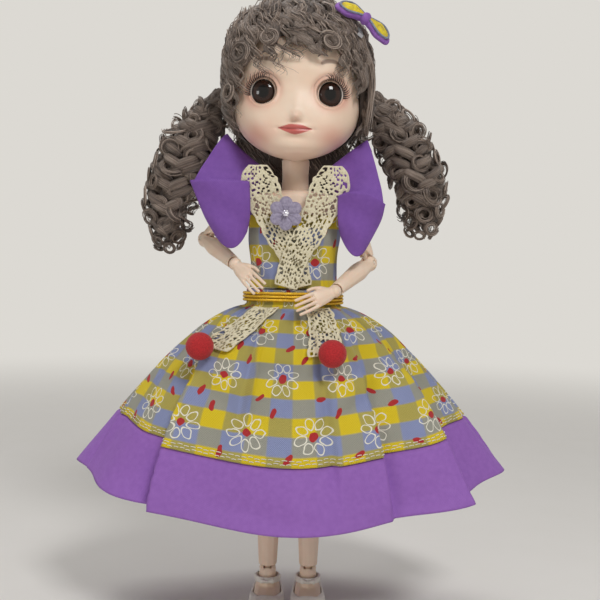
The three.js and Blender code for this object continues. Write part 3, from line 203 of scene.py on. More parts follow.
def ball(turn: Array, share: Array) -> Array:
    """Points of a ball of radius one, from turns in radians and shares from its bottom to its top."""
    tall = math.pi * (share - 0.5)
    return np.stack([np.cos(turn) * np.cos(tall), np.sin(turn) * np.cos(tall), np.sin(tall)], -1)


def bell(a: Array, b: Array | float, wide: float, tall: float) -> Array:
    """A soft hill of height one that reaches as far as given both ways."""
    return np.exp(-(a / wide) ** 2 - (b / tall) ** 2)


def ridge(value: Array, middle: float, half: float) -> Array:
    """A soft ridge of height one about a middle."""
    return np.exp(-((value - middle) / half) ** 2)


def box_of(node: str) -> tuple[Array, Array]:
    """Lower and upper corner of a frame node's box, in millimetres."""
    low, high = (np.array(corner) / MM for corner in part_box(node))
    return low, high


def select(obj: Piece) -> None:
    """Leaves only this object selected, and makes it the active one.

    Args:
        obj: the object.
    """
    bpy.ops.object.select_all(action="DESELECT")
    obj.select_set(True)
    bpy.context.view_layer.objects.active = obj


def edit(obj: Piece, *steps: Callable[[], object]) -> None:
    """Runs edit-mode operators on the whole mesh of an object.

    Args:
        obj: the object.
        steps: calls made in edit mode, in order.
    """
    select(obj)
    bpy.ops.object.mode_set(mode="EDIT")
    bpy.ops.mesh.select_all(action="SELECT")
    for step in steps:
        step()
    bpy.ops.object.mode_set(mode="OBJECT")


def merge_doubles() -> None:
    """Joins points that lie on each other, in edit mode."""
    bpy.ops.mesh.remove_doubles(threshold=1e-6)


def face_outwards() -> None:
    """Turns all faces outwards, in edit mode."""
    bpy.ops.mesh.normals_make_consistent(inside=False)


def modify(obj: Piece, kind: str, **settings: object) -> None:
    """Adds a modifier to an object and applies it.

    Args:
        obj: the object.
        kind: the modifier's type.
        settings: its properties.
    """
    select(obj)
    modifier = obj.modifiers.new(kind.lower(), kind)
    for key, value in settings.items():
        setattr(modifier, key, value)
    bpy.ops.object.modifier_apply(modifier=modifier.name)


def smooth(obj: Piece) -> None:
    """Shades a mesh smooth."""
    select(obj)
    bpy.ops.object.shade_smooth()


def points_of(obj: Piece) -> Array:
    """A mesh object's points, in millimetres.

    Args:
        obj: the object.

    Returns:
        One row for each point.
    """
    flat = np.empty(len(obj.data.vertices) * 3)
    obj.data.vertices.foreach_get("co", flat)
    return flat.reshape(-1, 3) / MM


def set_points(obj: Piece, points: Array) -> None:
    """Moves a mesh object's points to places in millimetres."""
    obj.data.vertices.foreach_set("co", (points * MM).ravel())
    obj.data.update()


def set_attribute(obj: Piece, name: str, values: Array) -> None:
    """Gives each point of a mesh a number that its material can read."""
    layer = obj.data.attributes.new(name, "FLOAT", "POINT")
    layer.data.foreach_set("value", np.asarray(values, np.float32))


def surface(name: str, columns: int, rows: int, place: Place, closed: bool = False) -> Piece:
    """A grid of cloth or skin, shaped by putting each of its points in place.

    Args:
        name: the object's name.
        columns: faces across.
        rows: faces along.
        place: gives points in millimetres from shares across and along.
        closed: joins the first column to the last.

    Returns:
        The object, with a UV map of the two shares.
    """
    bpy.ops.object.select_all(action="DESELECT")
    bpy.ops.mesh.primitive_grid_add(x_subdivisions=columns, y_subdivisions=rows, size=1.0)
    obj = bpy.context.object
    obj.name = obj.data.name = name
    shares = points_of(obj) * MM + 0.5
    set_points(obj, place(shares[:, 0], shares[:, 1]))
    if closed:
        edit(obj, merge_doubles)
    smooth(obj)
    return obj


def globe(name: str, columns: int, rows: int, place: Place) -> Piece:
    """A closed round form, shaped by putting each point of a UV sphere in place.

    Args:
        name: the object's name.
        columns: faces round it.
        rows: faces from pole to pole.
        place: gives points in millimetres from the turn in radians and the share from bottom to top.

    Returns:
        The object.
    """
    bpy.ops.object.select_all(action="DESELECT")
    bpy.ops.mesh.primitive_uv_sphere_add(segments=columns, ring_count=rows, radius=1.0)
    obj = bpy.context.object
    obj.name = obj.data.name = name
    ball = points_of(obj) * MM
    turn = np.arctan2(ball[:, 1], ball[:, 0])
    share = 1 - np.arccos(np.clip(ball[:, 2], -1, 1)) / math.pi
    set_points(obj, place(turn, share))
    edit(obj, face_outwards)
    smooth(obj)
    return obj


def threads(name: str, paths: Sequence[Array], radius: float, taper: Sequence[Array] | None = None,
            sides: int = 4) -> Piece:
    """Many thin round threads as one mesh, made as bevelled curves.

    Args:
        name: the object's name.
        paths: each thread's points, in millimetres.
        radius: the thread's radius.
        taper: for each thread, the share of the radius at each point.
        sides: flats round a thread, an even number.

    Returns:
        The mesh object. Its "strand" attribute is one number for each thread, and "along" runs from
        0 at a thread's start to 1 at its end.
    """
    curve = bpy.data.curves.new(name, "CURVE")
    curve.dimensions = "3D"
    curve.bevel_depth = radius * MM
    curve.bevel_resolution = sides // 2 - 2
    curve.use_fill_caps = False
    for k, path in enumerate(paths):
        spline = curve.splines.new("POLY")
        spline.points.add(len(path) - 1)
        spline.points.foreach_set("co", np.c_[path * MM, np.ones(len(path))].ravel())
        if taper is not None:
            spline.points.foreach_set("radius", taper[k])
    obj = bpy.data.objects.new(name, curve)
    bpy.context.scene.collection.objects.link(obj)
    select(obj)
    bpy.ops.object.convert(target="MESH")
    obj = bpy.context.object
    smooth(obj)
    shade = np.random.default_rng(len(paths)).random(len(paths))
    counts = [len(path) * sides for path in paths]
    set_attribute(obj, "strand", np.repeat(shade, counts))
    set_attribute(obj, "along", np.concatenate(
        [np.repeat(np.linspace(0, 1, len(path)), sides) for path in paths]))
    return obj


def mark_round(obj: Piece, sides: int) -> None:
    """Gives threads the way round each of them, as the place on a circle.

    Args:
        obj: a mesh made by threads().
        sides: flats round a thread.
    """
    way = 2 * math.pi * (np.arange(len(obj.data.vertices)) % sides) / sides
    set_attribute(obj, "round_x", np.cos(way))
    set_attribute(obj, "round_y", np.sin(way))


def joined(name: str, objects: Sequence[Piece]) -> Piece:
    """Joins meshes into one object.

    Args:
        name: the object's name.
        objects: the meshes, which are used up.

    Returns:
        The object.
    """
    select(objects[0])
    for obj in objects[1:]:
        obj.select_set(True)
    bpy.ops.object.join()
    obj = bpy.context.object
    obj.name = obj.data.name = name
    return obj


def cover(obj: Piece, material: Material) -> None:
    """Makes a material the only one of an object."""
    obj.data.materials.clear()
    obj.data.materials.append(material)


def coat(obj: Piece, material: Material, slot: str, *nodes: str) -> None:
    """Gives a piece its finish and hides the frame's nodes that it replaces.

    Args:
        obj: the piece.
        material: its finish.
        slot: not used.
        nodes: the frame's nodes that it replaces.
    """
    cover(obj, material)
    if nodes:
        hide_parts(*nodes)
    LOG.info("%s: %d faces", obj.name, len(obj.data.polygons))


def dress(obj: Piece, material: Material, body: str, slot: str, *nodes: str) -> None:
    """Finishes a piece that rides on one of the frame's bodies.

    Args:
        obj: the piece.
        material: its finish.
        body: the body.
        slot: not used.
        nodes: the frame's nodes that it replaces.
    """
    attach(obj, body)
    coat(obj, material, slot, *nodes)


def moulded(node: str, name: str, voxel: float, rounds: int) -> Piece:
    """Copies a frame node and rounds its flats off, as moulded plastic has them.

    Args:
        node: the frame's node.
        name: the copy's name.
        voxel: the size of the copy's faces.
        rounds: how often the copy is relaxed.

    Returns:
        The copy, with no parent.
    """
    source = bpy.data.objects[node]
    obj = bpy.data.objects.new(name, source.data.copy())
    obj.data.name = name
    bpy.context.scene.collection.objects.link(obj)
    edit(obj, merge_doubles)
    modify(obj, "REMESH", mode="VOXEL", voxel_size=voxel * MM)
    modify(obj, "SMOOTH", factor=0.5, iterations=rounds)
    smooth(obj)
    return obj


# Finishes


def start(name: str) -> tuple[Material, Tree, Node]:
    """Starts a material.

    Args:
        name: the material's name.

    Returns:
        The material, its node tree and its shader.
    """
    material = bpy.data.materials.new(name)
    material.use_nodes = True
    tree = material.node_tree
    return material, tree, tree.nodes["Principled BSDF"]


def bump(tree: Tree, shader: Node, height: Socket, depth: float, strength: float = 1.0) -> None:
    """Lets a height, from 0 to 1, stand up from the surface by a depth in millimetres."""
    node = add(tree, "Bump", {"Height": height, "Distance": depth * MM, "Strength": strength})
    feed(tree, shader, {"Normal": node.outputs["Normal"]})


def attribute(tree: Tree, name: str) -> Socket:
    """A number that the mesh carries at each of its points."""
    return add(tree, "Attribute", attribute_name=name).outputs["Fac"]


def grain(tree: Tree, size: float, detail: float = 2.0, roughness: float = 0.5) -> Socket:
    """Noise all through a piece.

    Args:
        tree: the material's node tree.
        size: the size of its grains in millimetres.
        detail: how many finer layers it has.
        roughness: how strong the finer layers are.

    Returns:
        A socket with numbers about one half.
    """
    place = add(tree, "TexCoord").outputs["Object"]
    return add(tree, "TexNoise", {"Vector": place, "Scale": 1 / (size * MM), "Detail": detail,
                                  "Roughness": roughness}).outputs["Fac"]


def ranged(tree: Tree, value: Socket, given: Pair = (0.0, 1.0), wanted: Pair = (0.0, 1.0)) -> Socket:
    """Stretches a range of numbers to the wanted one, and holds what lies outside at its ends."""
    return add(tree, "MapRange", {"Value": value, "From Min": given[0], "From Max": given[1],
                                  "To Min": wanted[0], "To Max": wanted[1]}).outputs["Result"]


def blended(tree: Tree, share: Socket, one: str | Socket, other: str | Socket) -> Socket:
    """Mixes two colours.

    Args:
        tree: the material's node tree.
        share: how much there is of the second colour.
        one: the first colour, a hex value or a socket.
        other: the second colour, likewise.

    Returns:
        The mixed colour.
    """
    first, second = (linear(colour) if isinstance(colour, str) else colour for colour in (one, other))
    return add(tree, "Mix", {0: share, 6: first, 7: second}, data_type="RGBA").outputs[2]


def work_out(tree: Tree, known: dict, steps: Sequence[tuple]) -> dict:
    """Works a pattern out in a material, one sum at a time.

    Args:
        tree: the material's node tree.
        known: named sockets to start from.
        steps: rows of a new name, a Math operation and its operands, which are names or numbers.

    Returns:
        The known sockets with the new ones.
    """
    known = dict(known)
    for name, operation, *operands in steps:
        inputs = {k: known[o] if isinstance(o, str) else o for k, o in enumerate(operands)}
        known[name] = add(tree, "Math", inputs, operation=operation).outputs[0]
    return known


def flat_place(tree: Tree, flat: Pair) -> dict:
    """Gives a point's place on the cut cloth.

    Args:
        tree: the material's node tree.
        flat: the cloth's width and length in millimetres, over which its UV map runs from 0 to 1.

    Returns:
        Sockets named u and v, in millimetres.
    """
    uv = add(tree, "TexCoord").outputs["UV"]
    apart = add(tree, "SeparateXYZ", {0: uv})
    return work_out(tree, {"x": apart.outputs[0], "y": apart.outputs[1]},
                    (("u", "MULTIPLY", "x", flat[0]), ("v", "MULTIPLY", "y", flat[1])))


class Finish:
    """What a piece is made of. Each kind sets up its own shader."""

    def make(self, name: str) -> Material:
        """Makes the material.

        Args:
            name: the material's name.

        Returns:
            The material.
        """
        material, tree, shader = start(name)
        self.fill(tree, shader)
        return material

    def fill(self, tree: Tree, shader: Node) -> None:
        """Sets up the shader of a new material.

        Args:
            tree: the material's node tree.
            shader: its shader.
        """
        raise NotImplementedError


@dataclass(frozen=True)
class SoftVinyl(Finish):
    """Soft PVC, rotation moulded: an even, faintly see-through cream with a silky, dry gloss."""

    colour: str = "#f3dfca"
    warm: str = "#eccdb4"
    mottle: float = 9.0
    roughness: float = 0.46
    # The mould's own grain, fine enough to break up the gloss without showing
    mould_grain: float = 0.25

    def fill(self, tree: Tree, shader: Node) -> None:
        """The material for limbs and torso."""
        self.base(tree, shader)

    def base(self, tree: Tree, shader: Node) -> Socket:
        """Sets the shader up for vinyl.

        Args:
            tree: the material's node tree.
            shader: its shader.

        Returns:
            The vinyl's colour.
        """
        skin = blended(tree, grain(tree, self.mottle), self.colour, self.warm)
        feed(tree, shader, {
            "Base Color": skin, "Roughness": self.roughness, "IOR": 1.53, "Subsurface Weight": 0.18,
            "Subsurface Radius": (1.0, 0.5, 0.35), "Subsurface Scale": 1.6 * MM})
        bump(tree, shader, grain(tree, self.mould_grain, 1.0), 0.01, 0.5)
        return skin


@dataclass(frozen=True)
class PaintedVinyl(Finish):
    """The same vinyl with sprayed rouge and eyeshadow, painted shade under the nose, the lower lip and the
    chin, and printed lips, brows and lid lines.
    """

    vinyl: SoftVinyl = SoftVinyl()
    lip_gloss: float = 0.28
    # Paint layers: shade is eyeshadow with painted shadow under the nose and the lower lip; the cheek colour
    # layer also carries painted shade under the chin
    paints: tuple[tuple[str, str], ...] = (
        ("shade", "#b98a72"), ("blush_and_chin_shade", "#dd8c78"), ("lips", "#c4544f"), ("lip_line", "#8a3230"),
        ("brow", "#5f4133"), ("lid_line", "#5a372c"))

    def fill(self, tree: Tree, shader: Node) -> None:
        """The material for the head."""
        colour = self.vinyl.base(tree, shader)
        for layer, code in self.paints:
            colour = blended(tree, attribute(tree, layer), colour, code)
        gloss = ranged(tree, attribute(tree, "lips"), wanted=(self.vinyl.roughness, self.lip_gloss))
        feed(tree, shader, {"Base Color": colour, "Roughness": gloss})


@dataclass(frozen=True)
class HardPlastic(Finish):
    """ABS pins and pegs: opaque ivory with a moulded half gloss."""

    colour: str = "#efe4d4"
    shade: str = "#e2d5c2"

    def fill(self, tree: Tree, shader: Node) -> None:
        """The material for joint pins and pegs."""
        cloud = grain(tree, 3.0)
        feed(tree, shader, {"Base Color": blended(tree, cloud, self.colour, self.shade), "Roughness": 0.35})
        bump(tree, shader, cloud, 0.02)


@dataclass(frozen=True)
class AcrylicEye(Finish):
    """Cast acrylic eye: dark brown iris with fine spokes under a clear, glossy dome."""

    pupil: str = "#080504"
    iris: str = "#1d0f0b"
    spoke: str = "#3c2216"
    ring: str = "#0d0706"
    white: str = "#e9dfd6"

    def fill(self, tree: Tree, shader: Node) -> None:
        """The material for an eye; its mesh says how far each point is from the iris's middle."""
        radial, turn = attribute(tree, "radial"), attribute(tree, "turn")
        spokes = add(tree, "TexNoise", {"W": turn, "Scale": 60.0, "Detail": 3.0}, noise_dimensions="1D")
        iris = blended(tree, spokes.outputs["Fac"], self.iris, self.spoke)
        for edge, code, ends in (((0.42, 0.58), self.pupil, (1.0, 0.0)), ((0.8, 0.93), self.ring, (0.0, 1.0)),
                                 ((0.985, 1.03), self.white, (0.0, 1.0))):
            iris = blended(tree, ranged(tree, radial, edge, ends), iris, code)
        feed(tree, shader, {"Base Color": iris, "Roughness": 0.06, "IOR": 1.49, "Coat Weight": 0.2,
                            "Specular IOR Level": 0.3, "Coat Roughness": 0.02})


@dataclass(frozen=True)
class SyntheticHair(Finish):
    """Nylon doll hair, crimped: ash brown fibres, each a little lighter or darker, with a soft sheen."""

    dark: str = "#4b3f38"
    middle: str = "#7a695d"
    light: str = "#b4a294"

    def fill(self, tree: Tree, shader: Node) -> None:
        """The material for strands, which carry one number each."""
        self.tint(tree, shader, attribute(tree, "strand"), 0.42)

    def tint(self, tree: Tree, shader: Node, tone: Socket, roughness: float) -> None:
        """Sets the shader up for nylon.

        Args:
            tree: the material's node tree.
            shader: its shader.
            tone: from 0 for the dark fibres to 1 for the light ones.
            roughness: how dull the fibres are.
        """
        ramp = add(tree, "ValToRGB", {"Fac": tone})
        stops = ramp.color_ramp.elements
        stops[0].color = linear(self.dark)
        stops[1].color = linear(self.light)
        stops.new(0.5).color = linear(self.middle)
        feed(tree, shader, {"Base Color": ramp.outputs["Color"], "Roughness": roughness, "IOR": 1.55,
                            "Sheen Weight": 0.15})


@dataclass(frozen=True)
class CurledLock(Finish):
    """The same nylon wound into a lock: fibres side by side, with lights and shades that run along it."""

    hair: SyntheticHair = SyntheticHair()
    # Streaks round a lock of about 5 mm: some 0.7 mm wide, many fibres each
    streaks: float = 4.6
    along: float = 9.0

    def fill(self, tree: Tree, shader: Node) -> None:
        """The material for wound locks, which carry the way round and along them."""
        marks = {key: attribute(tree, key) for key in ("round_x", "round_y", "along", "strand")}
        sums = work_out(tree, marks, (
            ("x", "MULTIPLY", "round_x", self.streaks), ("y", "MULTIPLY", "round_y", self.streaks),
            ("z0", "MULTIPLY", "along", self.along), ("z", "MULTIPLY_ADD", "strand", 40.0, "z0")))
        place = add(tree, "CombineXYZ", {0: sums["x"], 1: sums["y"], 2: sums["z"]}).outputs[0]
        noise = add(tree, "TexNoise", {"Vector": place, "Scale": 1.0, "Detail": 4.0, "Roughness": 0.7})
        streak = ranged(tree, noise.outputs["Fac"], (0.36, 0.64))
        tone = work_out(tree, {"own": marks["strand"], "streak": streak}, (
            ("part", "MULTIPLY", "own", 0.25), ("tone", "MULTIPLY_ADD", "streak", 0.75, "part")))["tone"]
        self.hair.tint(tree, shader, tone, 0.45)
        bump(tree, shader, streak, 0.4)


@dataclass(frozen=True)
class ScalpShade(Finish):
    """The shadowed roots under the strands: combed fibres too deep to see one by one."""

    deep: str = "#3a312c"
    lit: str = "#6b5d54"

    def fill(self, tree: Tree, shader: Node) -> None:
        """The material for the cap under the hair."""
        place = add(tree, "TexCoord").outputs["Object"]
        comb = add(tree, "Mapping", {"Vector": place, "Scale": (1 / MM, 1 / MM, 0.12 / MM)})
        noise = add(tree, "TexNoise", {"Vector": comb.outputs["Vector"], "Scale": 1.1, "Detail": 4.0})
        fibre = noise.outputs["Fac"]
        feed(tree, shader, {"Base Color": blended(tree, fibre, self.deep, self.lit), "Roughness": 0.6})
        bump(tree, shader, fibre, 0.3)


@dataclass(frozen=True)
class PrintedGingham(Finish):
    """Cotton gingham, woven in yellow and grey-blue stripes and overprinted with outlined daisies."""

    flat: Pair
    check: Pair = (9.4, 8.2)
    # Threads are 0.3 mm apart in the real cloth, and drawn wider apart so that they show
    thread: float = 0.8
    daisy_cell: Pair = (27.0, 25.0)
    petals: int = 8
    petal_out: float = 5.4
    petal_half: Pair = (2.5, 1.65)
    line: float = 0.19
    wobble: float = 2.2
    leaf_at: tuple[Pair, ...] = ((10.6, 9.4), (-9.8, -9.2))
    leaf_half: Pair = (2.5, 1.15)
    yellow: str = "#ecd018"
    olive: str = "#bcae56"
    grey: str = "#a5a497"
    blue: str = "#929cc6"
    white: str = "#f3efdf"
    red: str = "#b9272b"

    def fill(self, tree: Tree, shader: Node) -> None:
        """The material for one piece of this cloth."""
        place = flat_place(tree, self.flat)
        woven = self.weave(tree, place)
        colour = woven["colour"]
        for mask, code in self.prints(tree, place):
            colour = blended(tree, mask, colour, code)
        feed(tree, shader, {"Base Color": colour, "Roughness": 0.82, "Sheen Weight": 0.12})
        bump(tree, shader, woven["threads"], 0.12)

    def weave(self, tree: Tree, place: dict) -> dict:
        """Yellow and blue stripes both ways; where they cross, the threads that lie across show more.

        Args:
            tree: the material's node tree.
            place: sockets u and v.

        Returns:
            Sockets named colour and threads.
        """
        turn = 2 * math.pi / self.thread
        wide, tall = self.check
        sums = work_out(tree, place, (
            ("us", "DIVIDE", "u", 2 * wide), ("ue", "PINGPONG", "us", 0.5),
            ("warp", "MULTIPLY_ADD", "ue", 24.0, -5.5),
            ("vs", "DIVIDE", "v", 2 * tall), ("ve", "PINGPONG", "vs", 0.5),
            ("weft", "MULTIPLY_ADD", "ve", 24.0, -5.5),
            ("ut", "MULTIPLY", "u", turn), ("uw", "SINE", "ut"),
            ("vt", "MULTIPLY", "v", turn), ("vw", "SINE", "vt"),
            ("threads", "MULTIPLY_ADD", "uw", "vw", 0.5)))
        warp, weft = (add(tree, "Clamp", {0: sums[key]}).outputs[0] for key in ("warp", "weft"))
        both = blended(tree, weft, blended(tree, warp, self.yellow, self.olive),
                       blended(tree, warp, self.grey, self.blue))
        shade = ranged(tree, sums["threads"], (-0.5, 1.5), (0.84, 1.06))
        colour = add(tree, "VectorMath", {0: both, "Scale": shade}, operation="SCALE").outputs[0]
        return {"colour": colour, "threads": sums["threads"]}

    def prints(self, tree: Tree, place: dict) -> list[tuple[Socket, str]]:
        """Masks of the overprint, each with its colour.

        Args:
            tree: the material's node tree.
            place: sockets u and v.

        Returns:
            Pairs of mask and colour, in the order that they are printed.
        """
        wide, tall = self.daisy_cell
        long_half, short_half = self.petal_half
        step = 2 * math.pi / self.petals
        # The outlines wander as hand-drawn ones do.
        flat = add(tree, "CombineXYZ", {0: place["u"], 1: place["v"]}).outputs[0]
        drift = add(tree, "TexNoise", {"Vector": flat, "Scale": 0.22, "Detail": 1.0}).outputs["Color"]
        apart = add(tree, "SeparateXYZ", {0: drift}).outputs
        drawn = work_out(tree, {"u0": place["u"], "v0": place["v"], "du": apart[0], "dv": apart[1]}, (
            ("uo", "MULTIPLY_ADD", "du", self.wobble, "u0"), ("u", "SUBTRACT", "uo", self.wobble / 2),
            ("vo", "MULTIPLY_ADD", "dv", self.wobble, "v0"), ("v", "SUBTRACT", "vo", self.wobble / 2)))
        sums = work_out(tree, drawn, (
            ("row", "DIVIDE", "v", tall), ("row_id", "FLOOR", "row"), ("odd", "PINGPONG", "row_id", 1.0),
            ("shift", "MULTIPLY", "odd", 0.5), ("col0", "DIVIDE", "u", wide),
            ("col", "ADD", "col0", "shift"), ("col_id", "FLOOR", "col"),
            ("fu", "SUBTRACT", "col", "col_id"), ("fv", "SUBTRACT", "row", "row_id"),
            ("pu", "MULTIPLY_ADD", "fu", wide, -wide / 2), ("pv", "MULTIPLY_ADD", "fv", tall, -tall / 2),
            ("seed", "MULTIPLY_ADD", "row_id", 7.31, "col_id"), ("seed2", "MULTIPLY", "seed", 12.9),
            ("spin", "SINE", "seed2"),
            ("uu", "MULTIPLY", "pu", "pu"), ("rr", "MULTIPLY_ADD", "pv", "pv", "uu"), ("r", "SQRT", "rr"),
            ("turn0", "ARCTAN2", "pv", "pu"), ("turn", "ADD", "turn0", "spin"),
            ("turns", "DIVIDE", "turn", step), ("near", "ROUND", "turns"),
            ("off", "SUBTRACT", "turns", "near"),
            ("a", "MULTIPLY", "off", step), ("ca", "COSINE", "a"), ("sa", "SINE", "a"),
            ("px", "MULTIPLY_ADD", "r", "ca", -self.petal_out), ("py", "MULTIPLY", "r", "sa"),
            ("ex", "DIVIDE", "px", long_half), ("ey", "DIVIDE", "py", short_half),
            ("exx", "MULTIPLY", "ex", "ex"), ("ee", "MULTIPLY_ADD", "ey", "ey", "exx"), ("e", "SQRT", "ee"),
            ("ring", "SUBTRACT", "e", 1.0), ("rim", "ABSOLUTE", "ring"),
            ("petal", "LESS_THAN", "rim", self.line / short_half), ("eye", "LESS_THAN", "r", 1.8),
            ("lean", "MULTIPLY", "spin", 2.0), ("lc", "COSINE", "lean"), ("ls", "SINE", "lean")))
        leaves = []
        for x, y in self.leaf_at:
            leaf = work_out(tree, sums, (
                ("x", "SUBTRACT", "pu", x), ("y", "SUBTRACT", "pv", y),
                ("xc", "MULTIPLY", "x", "lc"), ("la", "MULTIPLY_ADD", "y", "ls", "xc"),
                ("xs", "MULTIPLY", "x", "ls"), ("yc", "MULTIPLY", "y", "lc"), ("lb", "SUBTRACT", "yc", "xs"),
                ("lx", "DIVIDE", "la", self.leaf_half[0]), ("ly", "DIVIDE", "lb", self.leaf_half[1]),
                ("lxx", "MULTIPLY", "lx", "lx"), ("ll", "MULTIPLY_ADD", "ly", "ly", "lxx"),
                ("leaf", "LESS_THAN", "ll", 1.0)))
            leaves.append((leaf["leaf"], self.red))
        return [*leaves, (sums["petal"], self.white), (sums["eye"], self.red)]


@dataclass(frozen=True)
class PurpleCloth(Finish):
    """Polyester-cotton in a plain weave: even purple with a dull sheen on the folds."""

    flat: Pair
    colour: str = "#a470c6"
    deep: str = "#8250a8"
    sheen: str = "#c3a2e2"
    # Threads are 0.25 mm apart in the real cloth, and drawn wider apart so that they show
    thread: float = 0.7

    def fill(self, tree: Tree, shader: Node) -> None:
        """The material for one piece of this cloth."""
        turn = 2 * math.pi / self.thread
        sums = work_out(tree, flat_place(tree, self.flat), (
            ("ut", "MULTIPLY", "u", turn), ("uw", "SINE", "ut"), ("vt", "MULTIPLY", "v", turn),
            ("vw", "SINE", "vt"), ("cross", "MULTIPLY", "uw", "vw"),
            ("threads", "MULTIPLY_ADD", "cross", 0.5, 0.5)))
        # Painted shade of the weave: the hollows between threads are mixed towards the deep colour; the grain
        # on top is tone that differs at random
        blend = work_out(tree, {"t": sums["threads"], "s": grain(tree, 2.5, 4.0)},
                         (("half", "MULTIPLY", "t", 0.45), ("amount", "MULTIPLY_ADD", "s", 0.6, "half")))
        feed(tree, shader, {
            "Base Color": blended(tree, blend["amount"], self.deep, self.colour), "Roughness": 0.7,
            "Sheen Weight": 0.22, "Sheen Roughness": 0.4, "Sheen Tint": linear(self.sheen)})
        bump(tree, shader, sums["threads"], 0.08)


@dataclass(frozen=True)
class FibreFinish(Finish):
    """Yarn, flock or felt: matte fibres with a soft edge, lighter and darker from tuft to tuft."""

    colour: str
    deep: str
    tuft: float
    depth: float
    sheen: float = 0.2
    metallic: float = 0.0
    roughness: float = 0.85

    def fill(self, tree: Tree, shader: Node) -> None:
        """The material for one fibrous piece."""
        tufts = grain(tree, self.tuft, 5.0, 0.65)
        tint = blended(tree, ranged(tree, tufts, (0.35, 0.65)), self.deep, self.colour)
        feed(tree, shader, {"Base Color": tint, "Metallic": self.metallic, "Roughness": self.roughness,
                            "Sheen Weight": self.sheen})
        bump(tree, shader, tufts, self.depth)


@dataclass(frozen=True)
class CutStone(Finish):
    """Moulded acrylic stone, foil backed, in pale lavender, with white glints painted on its facets."""

    colour: str = "#d9d4e6"
    glint: str = "#ffffff"
    facet: float = 0.9

    def fill(self, tree: Tree, shader: Node) -> None:
        """The material for the brooch's stones."""
        place = add(tree, "TexCoord").outputs["Object"]
        # Painted glints: each facet is mixed towards white at its middle
        cells = add(tree, "TexVoronoi", {"Vector": place, "Scale": 1 / (self.facet * MM)}).outputs["Distance"]
        feed(tree, shader, {"Base Color": blended(tree, cells, self.glint, self.colour), "Metallic": 0.35,
                            "Roughness": 0.12})
        bump(tree, shader, cells, 0.15)


@dataclass(frozen=True)
class ShoeVinyl(Finish):
    """White PVC shoes, injection moulded: smooth, half glossy, a little dulled on the edges."""

    colour: str = "#f1ede6"
    worn: str = "#ddd6cb"

    def fill(self, tree: Tree, shader: Node) -> None:
        """The material for shoe uppers, soles and straps."""
        scuff = grain(tree, 4.0, 4.0)
        feed(tree, shader, {"Base Color": blended(tree, scuff, self.colour, self.worn),
                            "Roughness": ranged(tree, scuff, wanted=(0.28, 0.5))})
        bump(tree, shader, scuff, 0.05)


@dataclass(frozen=True)
class PressedSteel(Finish):
    """Nickel-plated spring steel of the barrette, with fine drawing lines."""

    colour: str = "#b9b9bd"

    def fill(self, tree: Tree, shader: Node) -> None:
        """The material for the clip."""
        lines = grain(tree, 0.6, 3.0)
        feed(tree, shader, {"Base Color": linear(self.colour), "Metallic": 1.0,
                            "Roughness": ranged(tree, lines, wanted=(0.2, 0.4))})
        bump(tree, shader, lines, 0.02)


# Studio


